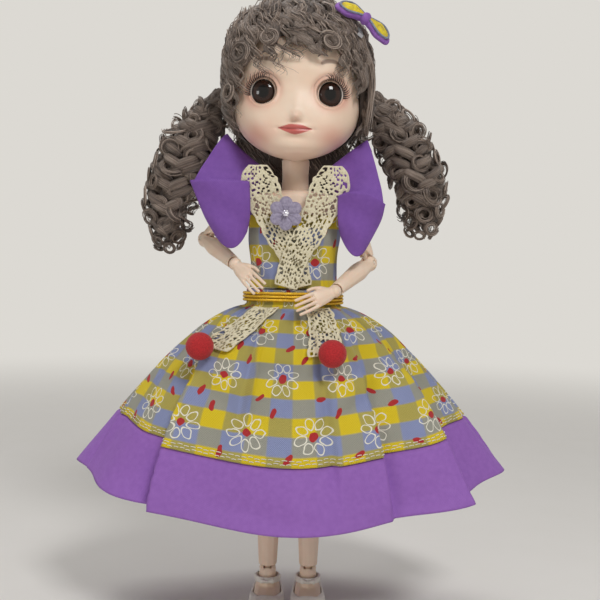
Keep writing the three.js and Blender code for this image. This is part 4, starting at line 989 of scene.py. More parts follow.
@dataclass
class Studio:
    """Camera, lamps and a plain pale sweep behind the doll."""

    camera_at: Way = (3.4, -450.0, 172.5)
    pitch: float = 2.3
    roll: float = 1.15
    lens: float = 55.1
    aim: Way = (0.0, 0.0, 160.0)
    air: str = "#f4f3f1"
    air_light: float = 0.32
    floor: str = "#e6e3de"
    floor_light: str = "#e9e6e2"
    distance: str = "#dcd9d3"
    floor_radius: float = 1400.0
    curve: float = 900.0
    wall: float = 500.0
    # Shares of the sweep's rows where the floor and the curve end
    floor_end: float = 0.6
    curve_end: float = 0.9
    lamps: tuple[tuple[str, Way, float, float], ...] = (
        ("key", (330.0, -760.0, 900.0), 280.0, 5.7),
        ("fill", (-820.0, -800.0, 330.0), 260.0, 1.7),
        ("top", (-100.0, 250.0, 1000.0), 600.0, 2.6))

    def build(self) -> None:
        """Makes the camera first, then the light and the sweep."""
        data = bpy.data.cameras.new("camera")
        data.lens = self.lens
        data.sensor_width = 36.0
        data.clip_start = 0.01
        level = Quaternion((1, 0, 0), math.radians(90 - self.pitch))
        turn = level @ Quaternion((0, 0, 1), math.radians(self.roll))
        bpy.context.scene.camera = self.put("camera", data, self.camera_at, turn)
        bpy.context.scene.view_settings.view_transform = "Standard"
        for name, at, size, power in self.lamps:
            lamp = bpy.data.lights.new(name, "AREA")
            lamp.size = size * MM
            lamp.energy = power
            way = Vector(self.aim) * MM - Vector(at) * MM
            self.put(name, lamp, at, way.to_track_quat("-Z", "Y"))
        self.world()
        self.sweep()

    def put(self, name: str, data: bpy.types.ID, at: Way, turn: Quaternion) -> Piece:
        """Puts a camera or a lamp in its place.

        Args:
            name: the object's name.
            data: the camera or the lamp.
            at: its place in millimetres.
            turn: which way it looks.

        Returns:
            The new object.
        """
        obj = bpy.data.objects.new(name, data)
        bpy.context.scene.collection.objects.link(obj)
        obj.location = Vector(at) * MM
        obj.rotation_mode = "QUATERNION"
        obj.rotation_quaternion = turn
        return obj

    def world(self) -> None:
        """Even pale light from all round."""
        world = bpy.data.worlds.new("studio")
        bpy.context.scene.world = world
        world.use_nodes = True
        back = world.node_tree.nodes["Background"]
        feed(world.node_tree, back, {"Color": linear(self.air), "Strength": self.air_light})

    def sweep_at(self, u: Array, v: Array) -> Array:
        """Points of the sweep: a round floor, a curve and a wall.

        Args:
            u: shares of the way round.
            v: shares from the middle to the wall's top.

        Returns:
            Points in millimetres.
        """
        turn = 2 * math.pi * u
        reach = self.floor_radius * np.minimum(v / self.floor_end, 1.0)
        bend = np.clip((v - self.floor_end) / 0.3, 0, 1) * math.pi / 2
        reach = reach + self.curve * np.sin(bend)
        z = self.curve * (1 - np.cos(bend)) + self.wall * np.clip((v - self.curve_end) / 0.1, 0, 1)
        return np.stack([reach * np.cos(turn), reach * np.sin(turn), z], -1)

    def sweep(self) -> None:
        """Round floor that curves up into a wall on all sides."""
        obj = surface("studio_sweep", 96, 60, self.sweep_at, True)
        material, tree, shader = start("studio paper")
        feed(tree, shader, {"Base Color": blended(tree, grain(tree, 40.0), self.floor, self.floor_light),
                            "Roughness": 0.9})
        # Further out, what is seen of the paper is even and pale, and lights nothing.
        place = add(tree, "TexCoord").outputs["Object"]
        far = add(tree, "VectorMath", {0: place}, operation="LENGTH").outputs["Value"]
        fade = add(tree, "MapRange", {"Value": far, "From Min": 0.35, "From Max": 1.3},
                   interpolation_type="SMOOTHSTEP")
        ray = add(tree, "LightPath").outputs
        sums = work_out(tree, {"fade": fade.outputs["Result"], "camera": ray["Is Camera Ray"],
                               "gloss": ray["Is Glossy Ray"], "through": ray["Is Transmission Ray"]}, (
            ("either", "MAXIMUM", "camera", "gloss"), ("seen", "MAXIMUM", "either", "through"),
            ("share", "MULTIPLY", "seen", "fade")))
        glow = add(tree, "Emission", {"Color": linear(self.distance), "Strength": 1.0})
        blend = add(tree, "MixShader", {0: sums["share"], 1: shader.outputs[0], 2: glow.outputs[0]})
        feed(tree, tree.nodes["Material Output"], {"Surface": blend.outputs[0]})
        cover(obj, material)


# Body


@dataclass
class Limbs:
    """Arms, legs, neck and torso: the frame's own forms with their flats rounded off."""

    nodes: dict
    voxel: float = 0.46
    hand_voxel: float = 0.25
    torso_voxel: float = 0.8
    rounds: int = 7

    def build(self) -> None:
        """Builds each limb piece and gives the pins and pegs their finish."""
        vinyl = SoftVinyl().make("soft vinyl")
        plastic = HardPlastic().make("hard plastic")
        for side in Side:
            for limb in ("upper_arm", "forearm", "hand", "thigh", "shin", "foot"):
                node = f"{limb}_{side.label}"
                voxel = {"hand": self.hand_voxel, "thigh": self.torso_voxel}.get(limb, self.voxel)
                piece = moulded(node, node + "_skin", voxel, self.rounds)
                dress(piece, vinyl, node, "skin", node)
        for node, body in (("chest_front", "chest"), ("chest_back", "chest"), ("pelvis_front", "pelvis"),
                           ("pelvis_back", "pelvis"), ("neck", "neck")):
            piece = moulded(node, node + "_skin", self.torso_voxel, self.rounds)
            dress(piece, vinyl, body, "skin", node)
        for name, node in self.nodes.items():
            if "_pin_" in name or "_peg" in name:
                cover(node, plastic)


@dataclass
class Head:
    """Head with its sculpted and painted face, ears, eyes and lashes."""

    chin: float = 221.0
    height: float = 73.0
    half_width: float = 31.0
    face_depth: float = 28.5
    skull_depth: float = 32.0
    flatness: float = 2.45
    skin_faces: tuple[int, int] = (288, 290)
    tilt: float = 1.4
    eye_out: float = 15.5
    eye_up: float = 29.8
    opening: Pair = (6.0, 6.1)
    iris: Pair = (5.35, 5.85)
    eyeball: Way = (7.0, 4.4, 7.3)
    eye_turn: float = 14.0
    nose_up: float = 18.2
    mouth_up: float = 12.6
    mouth_half: float = 7.9
    brow_up: float = 43.6
    brow_out: float = 15.5
    brow_half: float = 5.2
    ear: Way = (2.0, 2.7, 6.4)
    lash: float = 3.6
    lash_count: int = 17
    # Shares of the height, half width, face depth and skull depth, from the chin to the top
    rows: Rows = (
        (-0.012, 0.0, 0.56, -0.5), (0.012, 0.26, 0.8, -0.26), (0.05, 0.48, 0.92, 0.06),
        (0.11, 0.69, 0.99, 0.42), (0.19, 0.86, 1.02, 0.68), (0.3, 0.965, 1.02, 0.87),
        (0.42, 0.99, 0.97, 0.97), (0.56, 1.01, 0.98, 1.02), (0.7, 0.99, 0.93, 1.0),
        (0.83, 0.86, 0.74, 0.86), (0.93, 0.6, 0.46, 0.6), (0.99, 0.2, 0.1, 0.24), (1.0, 0.0, -0.08, 0.07))

    def section(self, share: Array) -> tuple[Array, Array, Array]:
        """Half width, half depth and middle of the head at shares of its height.

        Args:
            share: shares of the height.

        Returns:
            The three sizes in millimetres.
        """
        width, front, back = through(self.rows, share).T
        face, skull = -front * self.face_depth, back * self.skull_depth
        return width * self.half_width, (skull - face) / 2, (skull + face) / 2

    def at(self, turn: Array, share: Array, extra: Array | float = 0.0) -> Array:
        """Points on the head, or over it.

        Args:
            turn: the way round in radians, with the face at -pi/2.
            share: the share of the height.
            extra: how far the points stand off the skin.

        Returns:
            Points in millimetres.
        """
        width, depth, middle = self.section(share)
        c, s = np.cos(turn), np.sin(turn)
        power = np.where(s < 0, 2 / self.flatness, 1.0)
        x = (width + extra) * np.sign(c) * np.abs(c) ** power
        y = middle + (depth + extra) * np.sign(s) * np.abs(s) ** power
        z = self.chin + share * self.height + extra * smoothstep(0.55, 1.0, share)
        return np.stack([x, y, z], axis=-1)

    def front(self, x: Array, z: Array) -> Array:
        """How far forward the plain head lies at places seen from the front.

        Args:
            x: places across.
            z: heights.

        Returns:
            Places along Y.
        """
        width, depth, middle = self.section((np.asarray(z) - self.chin) / self.height)
        out = np.clip(np.abs(x) / np.maximum(width, 1e-6), 0, 1)
        return middle - depth * (1 - out ** self.flatness) ** (1 / self.flatness)

    def leaning(self, x: Array, z: Array) -> tuple[Array, Array]:
        """Places in the face's own axes, which lean a little, with heights above the chin.

        Args:
            x: places across.
            z: heights.

        Returns:
            Places across and heights in those axes.
        """
        angle = math.radians(self.tilt)
        up = z - self.chin - self.eye_up
        return (x * math.cos(angle) - up * math.sin(angle),
                x * math.sin(angle) + up * math.cos(angle) + self.eye_up)

    def eye_ring(self, x: Array, up: Array) -> tuple[Array, Array, Array]:
        """Distance from the nearer eye in eye sizes, and the way from its middle, outwards and up."""
        out, rise = np.abs(x) - self.eye_out, up - self.eye_up
        return np.hypot(out / self.opening[0], rise / self.opening[1]), out, rise

    def relief(self, x: Array, up: Array) -> Array:
        """How far the features stand out of the plain head.

        Args:
            x: places across, in the face's own axes.
            up: heights above the chin.

        Returns:
            Heights of the relief in millimetres.
        """
        ring, _, rise = self.eye_ring(x, up)
        lip = up - self.mouth_up
        height = -3.4 * smoothstep(1.05, 0.9, ring)
        height += 0.55 * ridge(ring, 1.15, 0.11)
        height -= 0.35 * ridge(ring, 1.42, 0.09) * smoothstep(0.0, 3.0, rise)
        height += 3.1 * bell(x, up - self.nose_up, 2.6, 2.3) + 0.9 * bell(x, up - self.nose_up - 6, 3.6, 6.0)
        height -= 0.5 * bell(np.abs(x) - 1.3, up - self.nose_up + 2.3, 1.0, 0.8)
        height += 1.1 * bell(x, lip - 1.1, 5.2, 1.5) + 1.2 * bell(x, lip + 1.3, 4.4, 1.5)
        height -= 0.55 * bell(x, lip, 7.2, 0.45) + 0.35 * bell(np.abs(x) - 8.2, lip, 1.2, 1.2)
        height -= 0.3 * bell(x, lip - 3.4, 0.9, 1.2) + 0.5 * bell(x, lip + 3.8, 5.0, 1.2)
        height += 1.0 * bell(x, up - 4.5, 6.0, 4.0)
        height += 1.5 * bell(np.abs(x) - 17.0, up - 14.0, 9.0, 8.0)
        height -= 0.8 * bell(np.abs(x) - 9.0, up - self.eye_up - 1, 3.5, 7.0)
        return height

    def paint(self, x: Array, up: Array) -> dict[str, Array]:
        """Amounts of each paint over the face.

        Args:
            x: places across, in the face's own axes.
            up: heights above the chin.

        Returns:
            For each paint layer, an amount from 0 to 1.
        """
        ring, out, rise = self.eye_ring(x, up)
        lip, share = up - self.mouth_up, np.abs(x) / self.mouth_half
        held = np.clip(share, 0, 1)
        top = 2.3 * (1 - held ** 1.35) - 0.6 * bell(x, 0, 1.5, 1) + 0.12
        low = -2.5 * np.clip(1 - (held / 0.92) ** 1.5, 0, 1) - 0.12
        part = -0.15 + 0.55 * held ** 2
        inside = smoothstep(1.02, 0.94, share)
        lips = smoothstep(0.15, -0.15, lip - top) * smoothstep(-0.15, 0.15, lip - low) * inside
        along = (np.abs(x) - self.brow_out) / self.brow_half
        brow_mid = self.brow_up + 0.9 - 1.5 * along ** 2
        brow_half = 0.85 * smoothstep(1.0, 0.2, along) * smoothstep(-1.05, -0.8, along) + 0.05
        brow = smoothstep(0.45, -0.3, np.abs(up - brow_mid) - brow_half)
        lid = 0.8 * smoothstep(0.99, 1.02, ring) * smoothstep(1.1, 1.05, ring) * smoothstep(-2.0, 1.5, rise)
        fold = 0.55 * ridge(ring, 1.36, 0.045) * smoothstep(1.0, 4.0, rise)
        return {
            # shade: eyeshadow round the upper lids, with painted shadow under the nose and painted shade in
            # the crease under the lower lip
            "shade": (0.34 * ridge(ring, 1.3, 0.3) * smoothstep(-4.0, 3.0, rise)
                      + 0.6 * bell(x, up - self.nose_up + 2.4, 2.9, 0.95)
                      + 0.2 * bell(x, lip + 3.6, 4.5, 1.2)),
            # Cheek colour, also round the eyes and on the nose; its band at the bottom of the chin is painted
            # shade
            "blush_and_chin_shade": (0.5 * bell(np.abs(x) - 17.5, up - 9.5, 8.0, 5.5)
                      + 0.3 * bell(out - 5, rise + 2, 5.0, 5.0) + 0.22 * bell(x, up - 1.0, 9.0, 3.0)
                      + 0.16 * bell(x, up - self.nose_up, 2.4, 2.0) + 0.25 * ridge(ring, 1.25, 0.35)),
            "lips": 0.93 * lips,
            "lip_line": 0.85 * smoothstep(0.34, 0.1, np.abs(lip - part)) * smoothstep(1.04, 0.9, share),
            "brow": 0.72 * brow * smoothstep(1.05, 0.9, np.abs(along)),
            "lid_line": np.clip(0.95 * lid + fold + 0.28 * ridge(ring, 1.04, 0.05), 0, 1),
        }

    def build(self) -> None:
        """Builds the head skin, the ears, the eyes and the lashes."""
        painted = PaintedVinyl().make("painted vinyl")
        skin = globe("head_skin", *self.skin_faces, self.skin_place)
        points = points_of(skin)
        x, up = self.leaning(points[:, 0], points[:, 2])
        facing = smoothstep(4.0, -4.0, points[:, 1])
        for layer, amount in self.paint(x, up).items():
            set_attribute(skin, layer, np.clip(amount * facing, 0, 1))
        dress(skin, painted, "head", "skin", "face", "head_back")
        vinyl = SoftVinyl().make("ear vinyl")
        acrylic = AcrylicEye().make("acrylic eye")
        lash = FibreFinish("#2a1a14", "#140c0a", tuft=1.0, depth=0.01).make("lash fibre")
        for side in Side:
            dress(self.ear_piece(side), vinyl, "head", "skin")
            dress(self.eye(side), acrylic, "head", "eye", f"eye_{side.label}")
            dress(self.lashes(side), lash, "head", "hair")

    def skin_place(self, turn: Array, share: Array) -> Array:
        """Points of the head skin, drawn closer together on the face.

        Args:
            turn: the way round in radians.
            share: shares from bottom to top.

        Returns:
            Points in millimetres.
        """
        way = from_front(turn)
        height = mix(self.rows[0][0], 1.0, (1 - np.cos(math.pi * share)) / 2)
        points = self.at(FRONT + way - 0.45 * np.sin(way), height)
        x, up = self.leaning(points[:, 0], points[:, 2])
        facing = smoothstep(2.0, -6.0, points[:, 1])
        points[:, 1] -= self.relief(x, up) * facing
        return points

    def eye_middle(self, side: Side) -> Array:
        """Middle of an eyeball.

        Args:
            side: the doll's side.

        Returns:
            Its place in millimetres.
        """
        angle = math.radians(self.tilt)
        x = side.value * self.eye_out * math.cos(angle)
        z = self.chin + self.eye_up - side.value * self.eye_out * math.sin(angle)
        y = float(self.front(np.array([x]), np.array([z]))[0])
        return np.array([x, y + 0.5 + self.eyeball[1], z])

    def eye(self, side: Side) -> Piece:
        """One eye: a shallow dome, turned a little outwards.

        Args:
            side: the doll's side.

        Returns:
            The piece.
        """
        angle = math.radians(self.eye_turn) * side.value
        middle = self.eye_middle(side)

        def place(turn: Array, share: Array) -> Array:
            """Points of the eyeball, whose poles lie in front and behind."""
            wide, tall, deep = ball(turn, share).T
            wide, deep, tall = self.eyeball[0] * wide, -self.eyeball[1] * deep, self.eyeball[2] * tall
            x = wide * math.cos(angle) - deep * math.sin(angle)
            y = wide * math.sin(angle) + deep * math.cos(angle)
            return np.stack([x, y, tall], -1) + middle

        eye = globe(f"eye_{side.label}_acrylic", 64, 48, place)
        off = points_of(eye) - middle
        back = off[:, 1] > 0.5
        radial = np.hypot(off[:, 0] / self.iris[0], (off[:, 2] + 0.1) / self.iris[1])
        set_attribute(eye, "radial", np.where(back, 2.0, radial))
        set_attribute(eye, "turn", np.arctan2(off[:, 2], off[:, 0]))
        return eye

    def ear_piece(self, side: Side) -> Piece:
        """One ear, dented on its outer side.

        Args:
            side: the doll's side.

        Returns:
            The piece.
        """
        middle = np.array([side.value * self.half_width * 0.965, 4.0, self.chin + self.eye_up - 6.3])

        def place(turn: Array, share: Array) -> Array:
            """Points of the ear."""
            form = ball(turn, share)
            outer = smoothstep(0.0, 0.8, form[:, 0] * side.value)
            bowl = bell(form[:, 1], form[:, 2] - 0.15, 0.5, 0.55)
            form *= self.ear
            form[:, 0] -= side.value * 1.3 * bowl * outer
            return form + middle

        return globe(f"ear_{side.label}", 32, 28, place)

    def lashes(self, side: Side) -> Piece:
        """Upper lashes, longest at the outer corner.

        Args:
            side: the doll's side.

        Returns:
            The piece.
        """
        middle = self.eye_middle(side)
        paths, taper = [], []
        t = np.linspace(0, 1, 6)
        for k, angle in enumerate(np.radians(np.linspace(-14, 108, self.lash_count))):
            reach = self.lash * (0.45 + 0.55 * math.cos(angle * 0.75)) + 0.5 * (k % 2)
            bend = angle + 0.25 * t ** 2
            radius_x, radius_z = self.opening[0] + reach * t, self.opening[1] + reach * t
            x = middle[0] + side.value * radius_x * np.cos(bend)
            z = middle[2] + radius_z * np.sin(bend)
            ring_x = np.clip(np.abs(x - middle[0]), 0, 9) * side.value + middle[0]
            y = self.front(ring_x, z) - 0.55 - 1.3 * np.sin(math.pi * 0.5 * t)
            paths.append(np.stack([x, y, z], -1))
            taper.append(1.0 - 0.85 * t)
        return threads(f"lashes_{side.label}", paths, 0.3, taper)


# Dress


def remap_uv(obj: Piece, change: Callable[[Array, Array], tuple[Array, Array]]) -> None:
    """Moves a piece's cloth pattern.

    Args:
        obj: a piece made by surface().
        change: gives new shares across and along from the old ones.
    """
    layer = obj.data.uv_layers.active.data
    flat = np.empty(len(layer) * 2)
    layer.foreach_get("uv", flat)
    across, along = flat.reshape(-1, 2).T
    layer.foreach_set("uv", np.stack(change(across, along), -1).ravel())


def thicken(obj: Piece, thickness: float, offset: float = -1.0) -> None:
    """Gives a cloth surface its thickness, inwards unless the offset says otherwise."""
    modify(obj, "SOLIDIFY", thickness=thickness * MM, offset=offset, use_even_offset=False)
    smooth(obj)


def area_of(obj: Piece) -> float:
    """Area of a mesh in square millimetres."""
    return sum(face.area for face in obj.data.polygons) / MM ** 2


@dataclass(frozen=True)
class Fold:
    """A soft fold down the skirt, where the cloth on one side falls back behind the other."""

    top: float
    low: float
    depth: float
    side: int
    start: float = 0.12
    end: float = 1.05
    wide: float = 0.2
    fade: float = 0.3


@dataclass(frozen=True)
class Dent:
    """A soft hollow in the skirt: its way round, its place down the cloth, their reaches, slope and depth."""

    way: float
    share: float
    wide: float
    tall: float
    slope: float
    depth: float


@dataclass
class Skirt:
    """Gathered gingham skirt with a plain hem band and its topstitching."""

    waist_z: float = 151.8
    waist: Pair = (22.8, 16.2)
    hem: Pair = (103.0, 60.0)
    length: float = 112.0
    panel: Pair = (-7.8, 80.3)
    tuck: float = 4.0
    waves: int = 8
    wave: float = 3.2
    gather: float = 3.0
    gathers: int = 27
    front_rise: float = 5.5
    cloth: float = 0.7
    panel_faces: tuple[int, int] = (480, 64)
    band_faces: tuple[int, int] = (480, 34)
    flat: Pair = (440.0, 88.0)
    band_flat: Pair = (560.0, 36.0)
    # Height above the panel's edge and number of stitches
    stitch_rows: tuple[tuple[float, int], ...] = ((1.3, 190), (2.7, 170))
    folds: tuple[Fold, ...] = (
        Fold(-0.86, -0.66, 13.5, -1, 0.1, 1.15, 0.3), Fold(-0.34, -0.3, 8.5, 1, -0.05, 0.75, 0.16),
        Fold(0.3, 0.24, 5.0, -1, 0.1, 0.95, 0.13), Fold(0.62, 0.5, 6.5, 1, 0.15, 1.1, 0.2),
        Fold(1.12, 0.92, 9.5, 1, 0.15, 1.3, 0.22), Fold(-1.5, -1.35, 6.0, -1),
        Fold(1.75, 1.6, 5.0, -1), Fold(2.5, 2.4, 6.0, 1), Fold(-2.3, -2.4, 6.0, -1))
    dents: tuple[Dent, ...] = (
        Dent(-0.04, 0.37, 0.26, 0.05, 0.0, 3.4), Dent(0.5, 0.5, 0.3, 0.05, -0.22, 2.6),
        Dent(-0.6, 0.46, 0.22, 0.06, 0.3, 2.6), Dent(0.85, 0.3, 0.2, 0.05, 0.2, 2.0),
        Dent(-0.1, 0.9, 0.3, 0.05, 0.12, 1.6), Dent(0.66, 0.92, 0.22, 0.06, -0.2, 2.2))

    def at(self, turn: Array, along: Array, lift: Array | float = 0.0) -> Array:
        """Points on the outer face of the skirt.

        Args:
            turn: the way round in radians, with the front at -pi/2.
            along: the way down the cloth from the waist seam.
            lift: how far the points stand off the cloth.

        Returns:
            Points in millimetres.
        """
        share = np.maximum(0.0, along) / self.length
        way = from_front(turn)
        c, s = np.cos(turn), np.sin(turn)
        run = np.hypot((self.hem[0] - self.waist[0]) * c, (self.hem[1] - self.waist[1]) * s)
        drop = np.sqrt(self.length ** 2 - run ** 2)
        out = self.wave * share * np.cos(self.waves * turn + 0.9 * np.sin(2 * turn + 0.6))
        for fold in self.folds:
            off = (way - mix(fold.top, fold.low, share)) * fold.side
            near = (smoothstep(fold.start, fold.start + fold.fade, share)
                    * smoothstep(fold.end, fold.end - fold.fade, share))
            behind = smoothstep(-0.012, 0.035, off) * np.exp(-np.maximum(off, 0) / fold.wide)
            ahead = np.exp(-np.abs(off) / (0.7 * fold.wide)) * smoothstep(0.035, -0.012, off)
            out = out + fold.depth * near * share ** 0.4 * (0.3 * ahead - behind)
        for dent in self.dents:
            across, down = way - dent.way, share - dent.share - dent.slope * (way - dent.way)
            out = out - dent.depth * bell(across, down, dent.wide, dent.tall)
        pleats = 0.5 + 0.5 * np.cos(self.gathers * turn + 1.7 * np.sin(5 * turn) + 0.8 * np.sin(13 * turn))
        fade = smoothstep(0.0, 0.06, share) * np.maximum(0.0, 1 - share) ** 1.9
        out = out - self.gather * fade * (1 - pleats)
        spread, fall = share ** 0.75, share ** 1.2
        x = (mix(self.waist[0], self.hem[0], spread) + out + lift) * c
        y = (mix(self.waist[1], self.hem[1], spread) + out + lift) * s
        z = self.waist_z - drop * fall - np.minimum(0.0, along) + np.where(along > 0, 0.8 * lift, 0.0)
        return np.stack([x, y, z], -1)

    def build(self) -> None:
        """Builds the panel, the band and the stitches, and says how large the cloth is."""
        panel = surface("skirt_panel_cloth", *self.panel_faces, self.panel_at, True)
        remap_uv(panel, self.draw_in)
        band = surface("hem_band_cloth", *self.band_faces, self.band_at, True)
        gingham = PrintedGingham(self.flat).make("printed gingham")
        purple = PurpleCloth(self.band_flat).make("purple cloth")
        for piece, node, finish, slot, flat in (
                (panel, "skirt_panel", gingham, "gingham", self.flat),
                (band, "hem_band", purple, "purple_cloth", self.band_flat)):
            thicken(piece, self.cloth)
            dress(piece, finish, "pelvis", slot, node)
            LOG.info("%s covers %.0f mm2, cut %.0f mm2", node, area_of(piece) / 2, flat[0] * flat[1])
        stitches = self.stitches()
        thread = FibreFinish("#f4f1e8", "#d8d3c4", tuft=0.5, depth=0.05).make("white thread")
        dress(stitches, thread, "pelvis", "gingham")

    def panel_at(self, u: Array, share: Array) -> Array:
        """Points of the gingham panel, from its lower edge up."""
        return self.at(all_round(u), mix(self.panel[1], self.panel[0], share))

    def draw_in(self, u: Array, v: Array) -> tuple[Array, Array]:
        """Lets part of the width vanish in the gathers, so that the checks stay nearly square.

        Args:
            u: shares across.
            v: shares along.

        Returns:
            The shares after the gathers.
        """
        along = np.maximum(0.0, mix(self.panel[1], self.panel[0], v)) / self.length
        girth = mix(sum(self.waist), sum(self.hem), along ** 0.75)
        return 0.5 + (u - 0.5) * mix(girth / girth.max(), 1.0, 0.45), v

    def band_at(self, u: Array, share: Array) -> Array:
        """Points of the hem band, whose top edge is tucked under the panel.

        Args:
            u: shares of the way round.
            share: shares from the edge up.

        Returns:
            Points in millimetres.
        """
        turn = all_round(u)
        edge = self.length - self.front_rise * np.exp(-(from_front(turn) / 0.9) ** 4)
        along = mix(edge, self.panel[1] - self.tuck, share)
        under = -(self.cloth + 0.3) * smoothstep(self.panel[1] + 2.0, self.panel[1] - 0.6, along)
        return self.at(turn, along, under)

    def stitches(self) -> Piece:
        """Two rows of white stitches above the panel's lower edge."""
        paths = []
        t = np.linspace(0.1, 0.84, 5)
        rise = 0.05 + 0.28 * np.sin(math.pi * (t - 0.1) / 0.74)
        for row, (up, count) in enumerate(self.stitch_rows):
            for k in range(count):
                turn = (k + t + 0.4 * row) * (2 * math.pi / count)
                along = self.panel[1] - up - 0.25 * math.sin(2.3 * k)
                paths.append(self.at(turn, np.full(len(t), along), rise))
        return threads("panel_stitches", paths, 0.2)


@dataclass
class Bodice:
    """Close gingham bodice over the chest."""

    # Height, half width, half depth and middle of the chest
    rows: Rows = (
        (158.0, 20.1, 13.5, 0.0), (160.3, 20.0, 13.4, 0.0), (172.0, 19.53, 12.88, 0.0),
        (184.8, 21.0, 14.0, -0.6), (194.6, 21.0, 12.6, 0.0), (205.4, 20.79, 10.36, 0.0))
    bottom: float = 160.4
    top: float = 195.4
    ease: float = 1.6
    cloth: float = 0.8
    flat: Pair = (116.0, 35.0)

    def at(self, turn: Array, z: Array, extra: Array | float = 0.0) -> Array:
        """Points over the chest at heights, standing off it by the ease and something extra."""
        width, depth, middle = through(self.rows, z).T
        return np.stack([(width + self.ease + extra) * np.cos(turn),
                         middle + (depth + self.ease + extra) * np.sin(turn), z], -1)

    def front(self, x: Array, z: Array) -> Array:
        """How far forward the bodice lies at places seen from the front.

        Args:
            x: places across.
            z: heights.

        Returns:
            Places along Y.
        """
        width, depth, middle = through(self.rows, z).T
        out = np.clip(np.abs(x) / (width + self.ease), 0, 0.98)
        return middle - (depth + self.ease) * np.sqrt(1 - out ** 2)

    def build(self) -> None:
        """Builds the bodice with the small gathers above its waist seam."""
        def place(u: Array, v: Array) -> Array:
            """Points of the bodice, from the waist up."""
            turn = all_round(u)
            puckers = -0.45 * (0.5 + 0.5 * np.cos(34 * turn + np.sin(7 * turn)))
            wrinkle = 0.25 * np.sin(5 * turn + 9 * v) * np.sin(math.pi * v)
            return self.at(turn, mix(self.bottom, self.top, v), puckers * (1 - v) ** 3 + wrinkle - 0.2)

        piece = surface("bodice_cloth", 220, 44, place, True)
        thicken(piece, self.cloth)
        dress(piece, PrintedGingham(self.flat).make("bodice gingham"), "chest", "gingham", "bodice")


@dataclass
class Ruffle:
    """Folded shoulder wing: a lower panel in front, creased over an upper one that stands up behind it."""

    side: Side
    # Rows from the bottom to the top, each from the seam outwards
    lower: tuple[tuple[Way, Way, Way], ...]
    upper: tuple[tuple[Way, Way, Way], ...]
    flat: Pair = (24.0, 90.0)
    crease: Pair = (0.36, 0.4)
    cloth: float = 0.7
    bend_from: Way = (0.0, -8.0, 208.0)
    bend_to: Way = (0.0, -20.0, 194.0)

    def along_rows(self, rows: tuple[tuple[Way, Way, Way], ...], u: Array, t: Array) -> Array:
        """Points between rows, smooth across and along.

        Args:
            rows: rows of points, from the seam outwards.
            u: shares from the seam.
            t: shares from the first row to the last.

        Returns:
            Points in millimetres.
        """
        flats = np.asarray(rows, float)
        stops = [np.r_[share, flats[k].ravel()] for k, share in enumerate(np.linspace(0, 1, len(flats)))]
        near, middle, far = np.split(through(stops, t), 3, axis=-1)
        a, b = u[:, None], 1 - u[:, None]
        bow = 2 * middle - 0.5 * (near + far)
        return b * b * near + 2 * a * b * bow + a * a * far

    def at(self, u: Array, v: Array) -> Array:
        """Points of the wing on the doll's left; the right one is its own shape, mirrored.

        Args:
            u: shares from the seam.
            v: shares along the folded cloth.

        Returns:
            Points in millimetres.
        """
        low, high = self.crease
        front = self.along_rows(self.lower, u, np.clip(v / low, 0, 1))
        back = self.along_rows(self.upper, u, np.clip((v - high) / (1 - high), 0, 1))
        turn = np.clip((v - low) / (high - low), 0, 1)[:, None]
        points = front * (1 - turn) + back * turn
        return points * np.array([self.side.value, 1, 1])

    def build(self, cloth: Material) -> None:
        """Builds the wing and gives it its thickness.

        Args:
            cloth: its finish.
        """
        piece = surface(f"ruffle_{self.side.label}_cloth", 32, 120, self.at)
        self.soften(piece)
        thicken(piece, self.cloth, 0.0)
        node = f"ruffle_{self.side.label}"
        coat(piece, cloth, "purple_cloth", node)
        f"shoulder_{self.side.label}"
        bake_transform(piece)
        LOG.info("%s covers %.0f mm2", node, area_of(piece) / 2)

    def soften(self, piece: Piece) -> None:
        """Adds the slack of the cloth between the creases.

        Args:
            piece: the wing.
        """
        points = points_of(piece)
        points[:, 1] += 0.5 * np.sin(0.33 * points[:, 2] + 0.2 * points[:, 0])
        set_points(piece, points)


def open_meshes(obj: Piece, flags: Array) -> None:
    """Takes faces out of a mesh.

    Args:
        obj: the mesh object.
        flags: for each face, whether it goes.
    """
    bpy.context.tool_settings.mesh_select_mode = (False, False, True)
    select(obj)
    bpy.ops.object.mode_set(mode="EDIT")
    bpy.ops.mesh.select_all(action="DESELECT")
    bpy.ops.object.mode_set(mode="OBJECT")
    obj.data.polygons.foreach_set("select", flags)
    bpy.ops.object.mode_set(mode="EDIT")
    bpy.ops.mesh.delete(type="FACE")
    bpy.ops.object.mode_set(mode="OBJECT")
    LOG.info("%s: %d of %d meshes left open", obj.name, flags.sum(), len(flags))


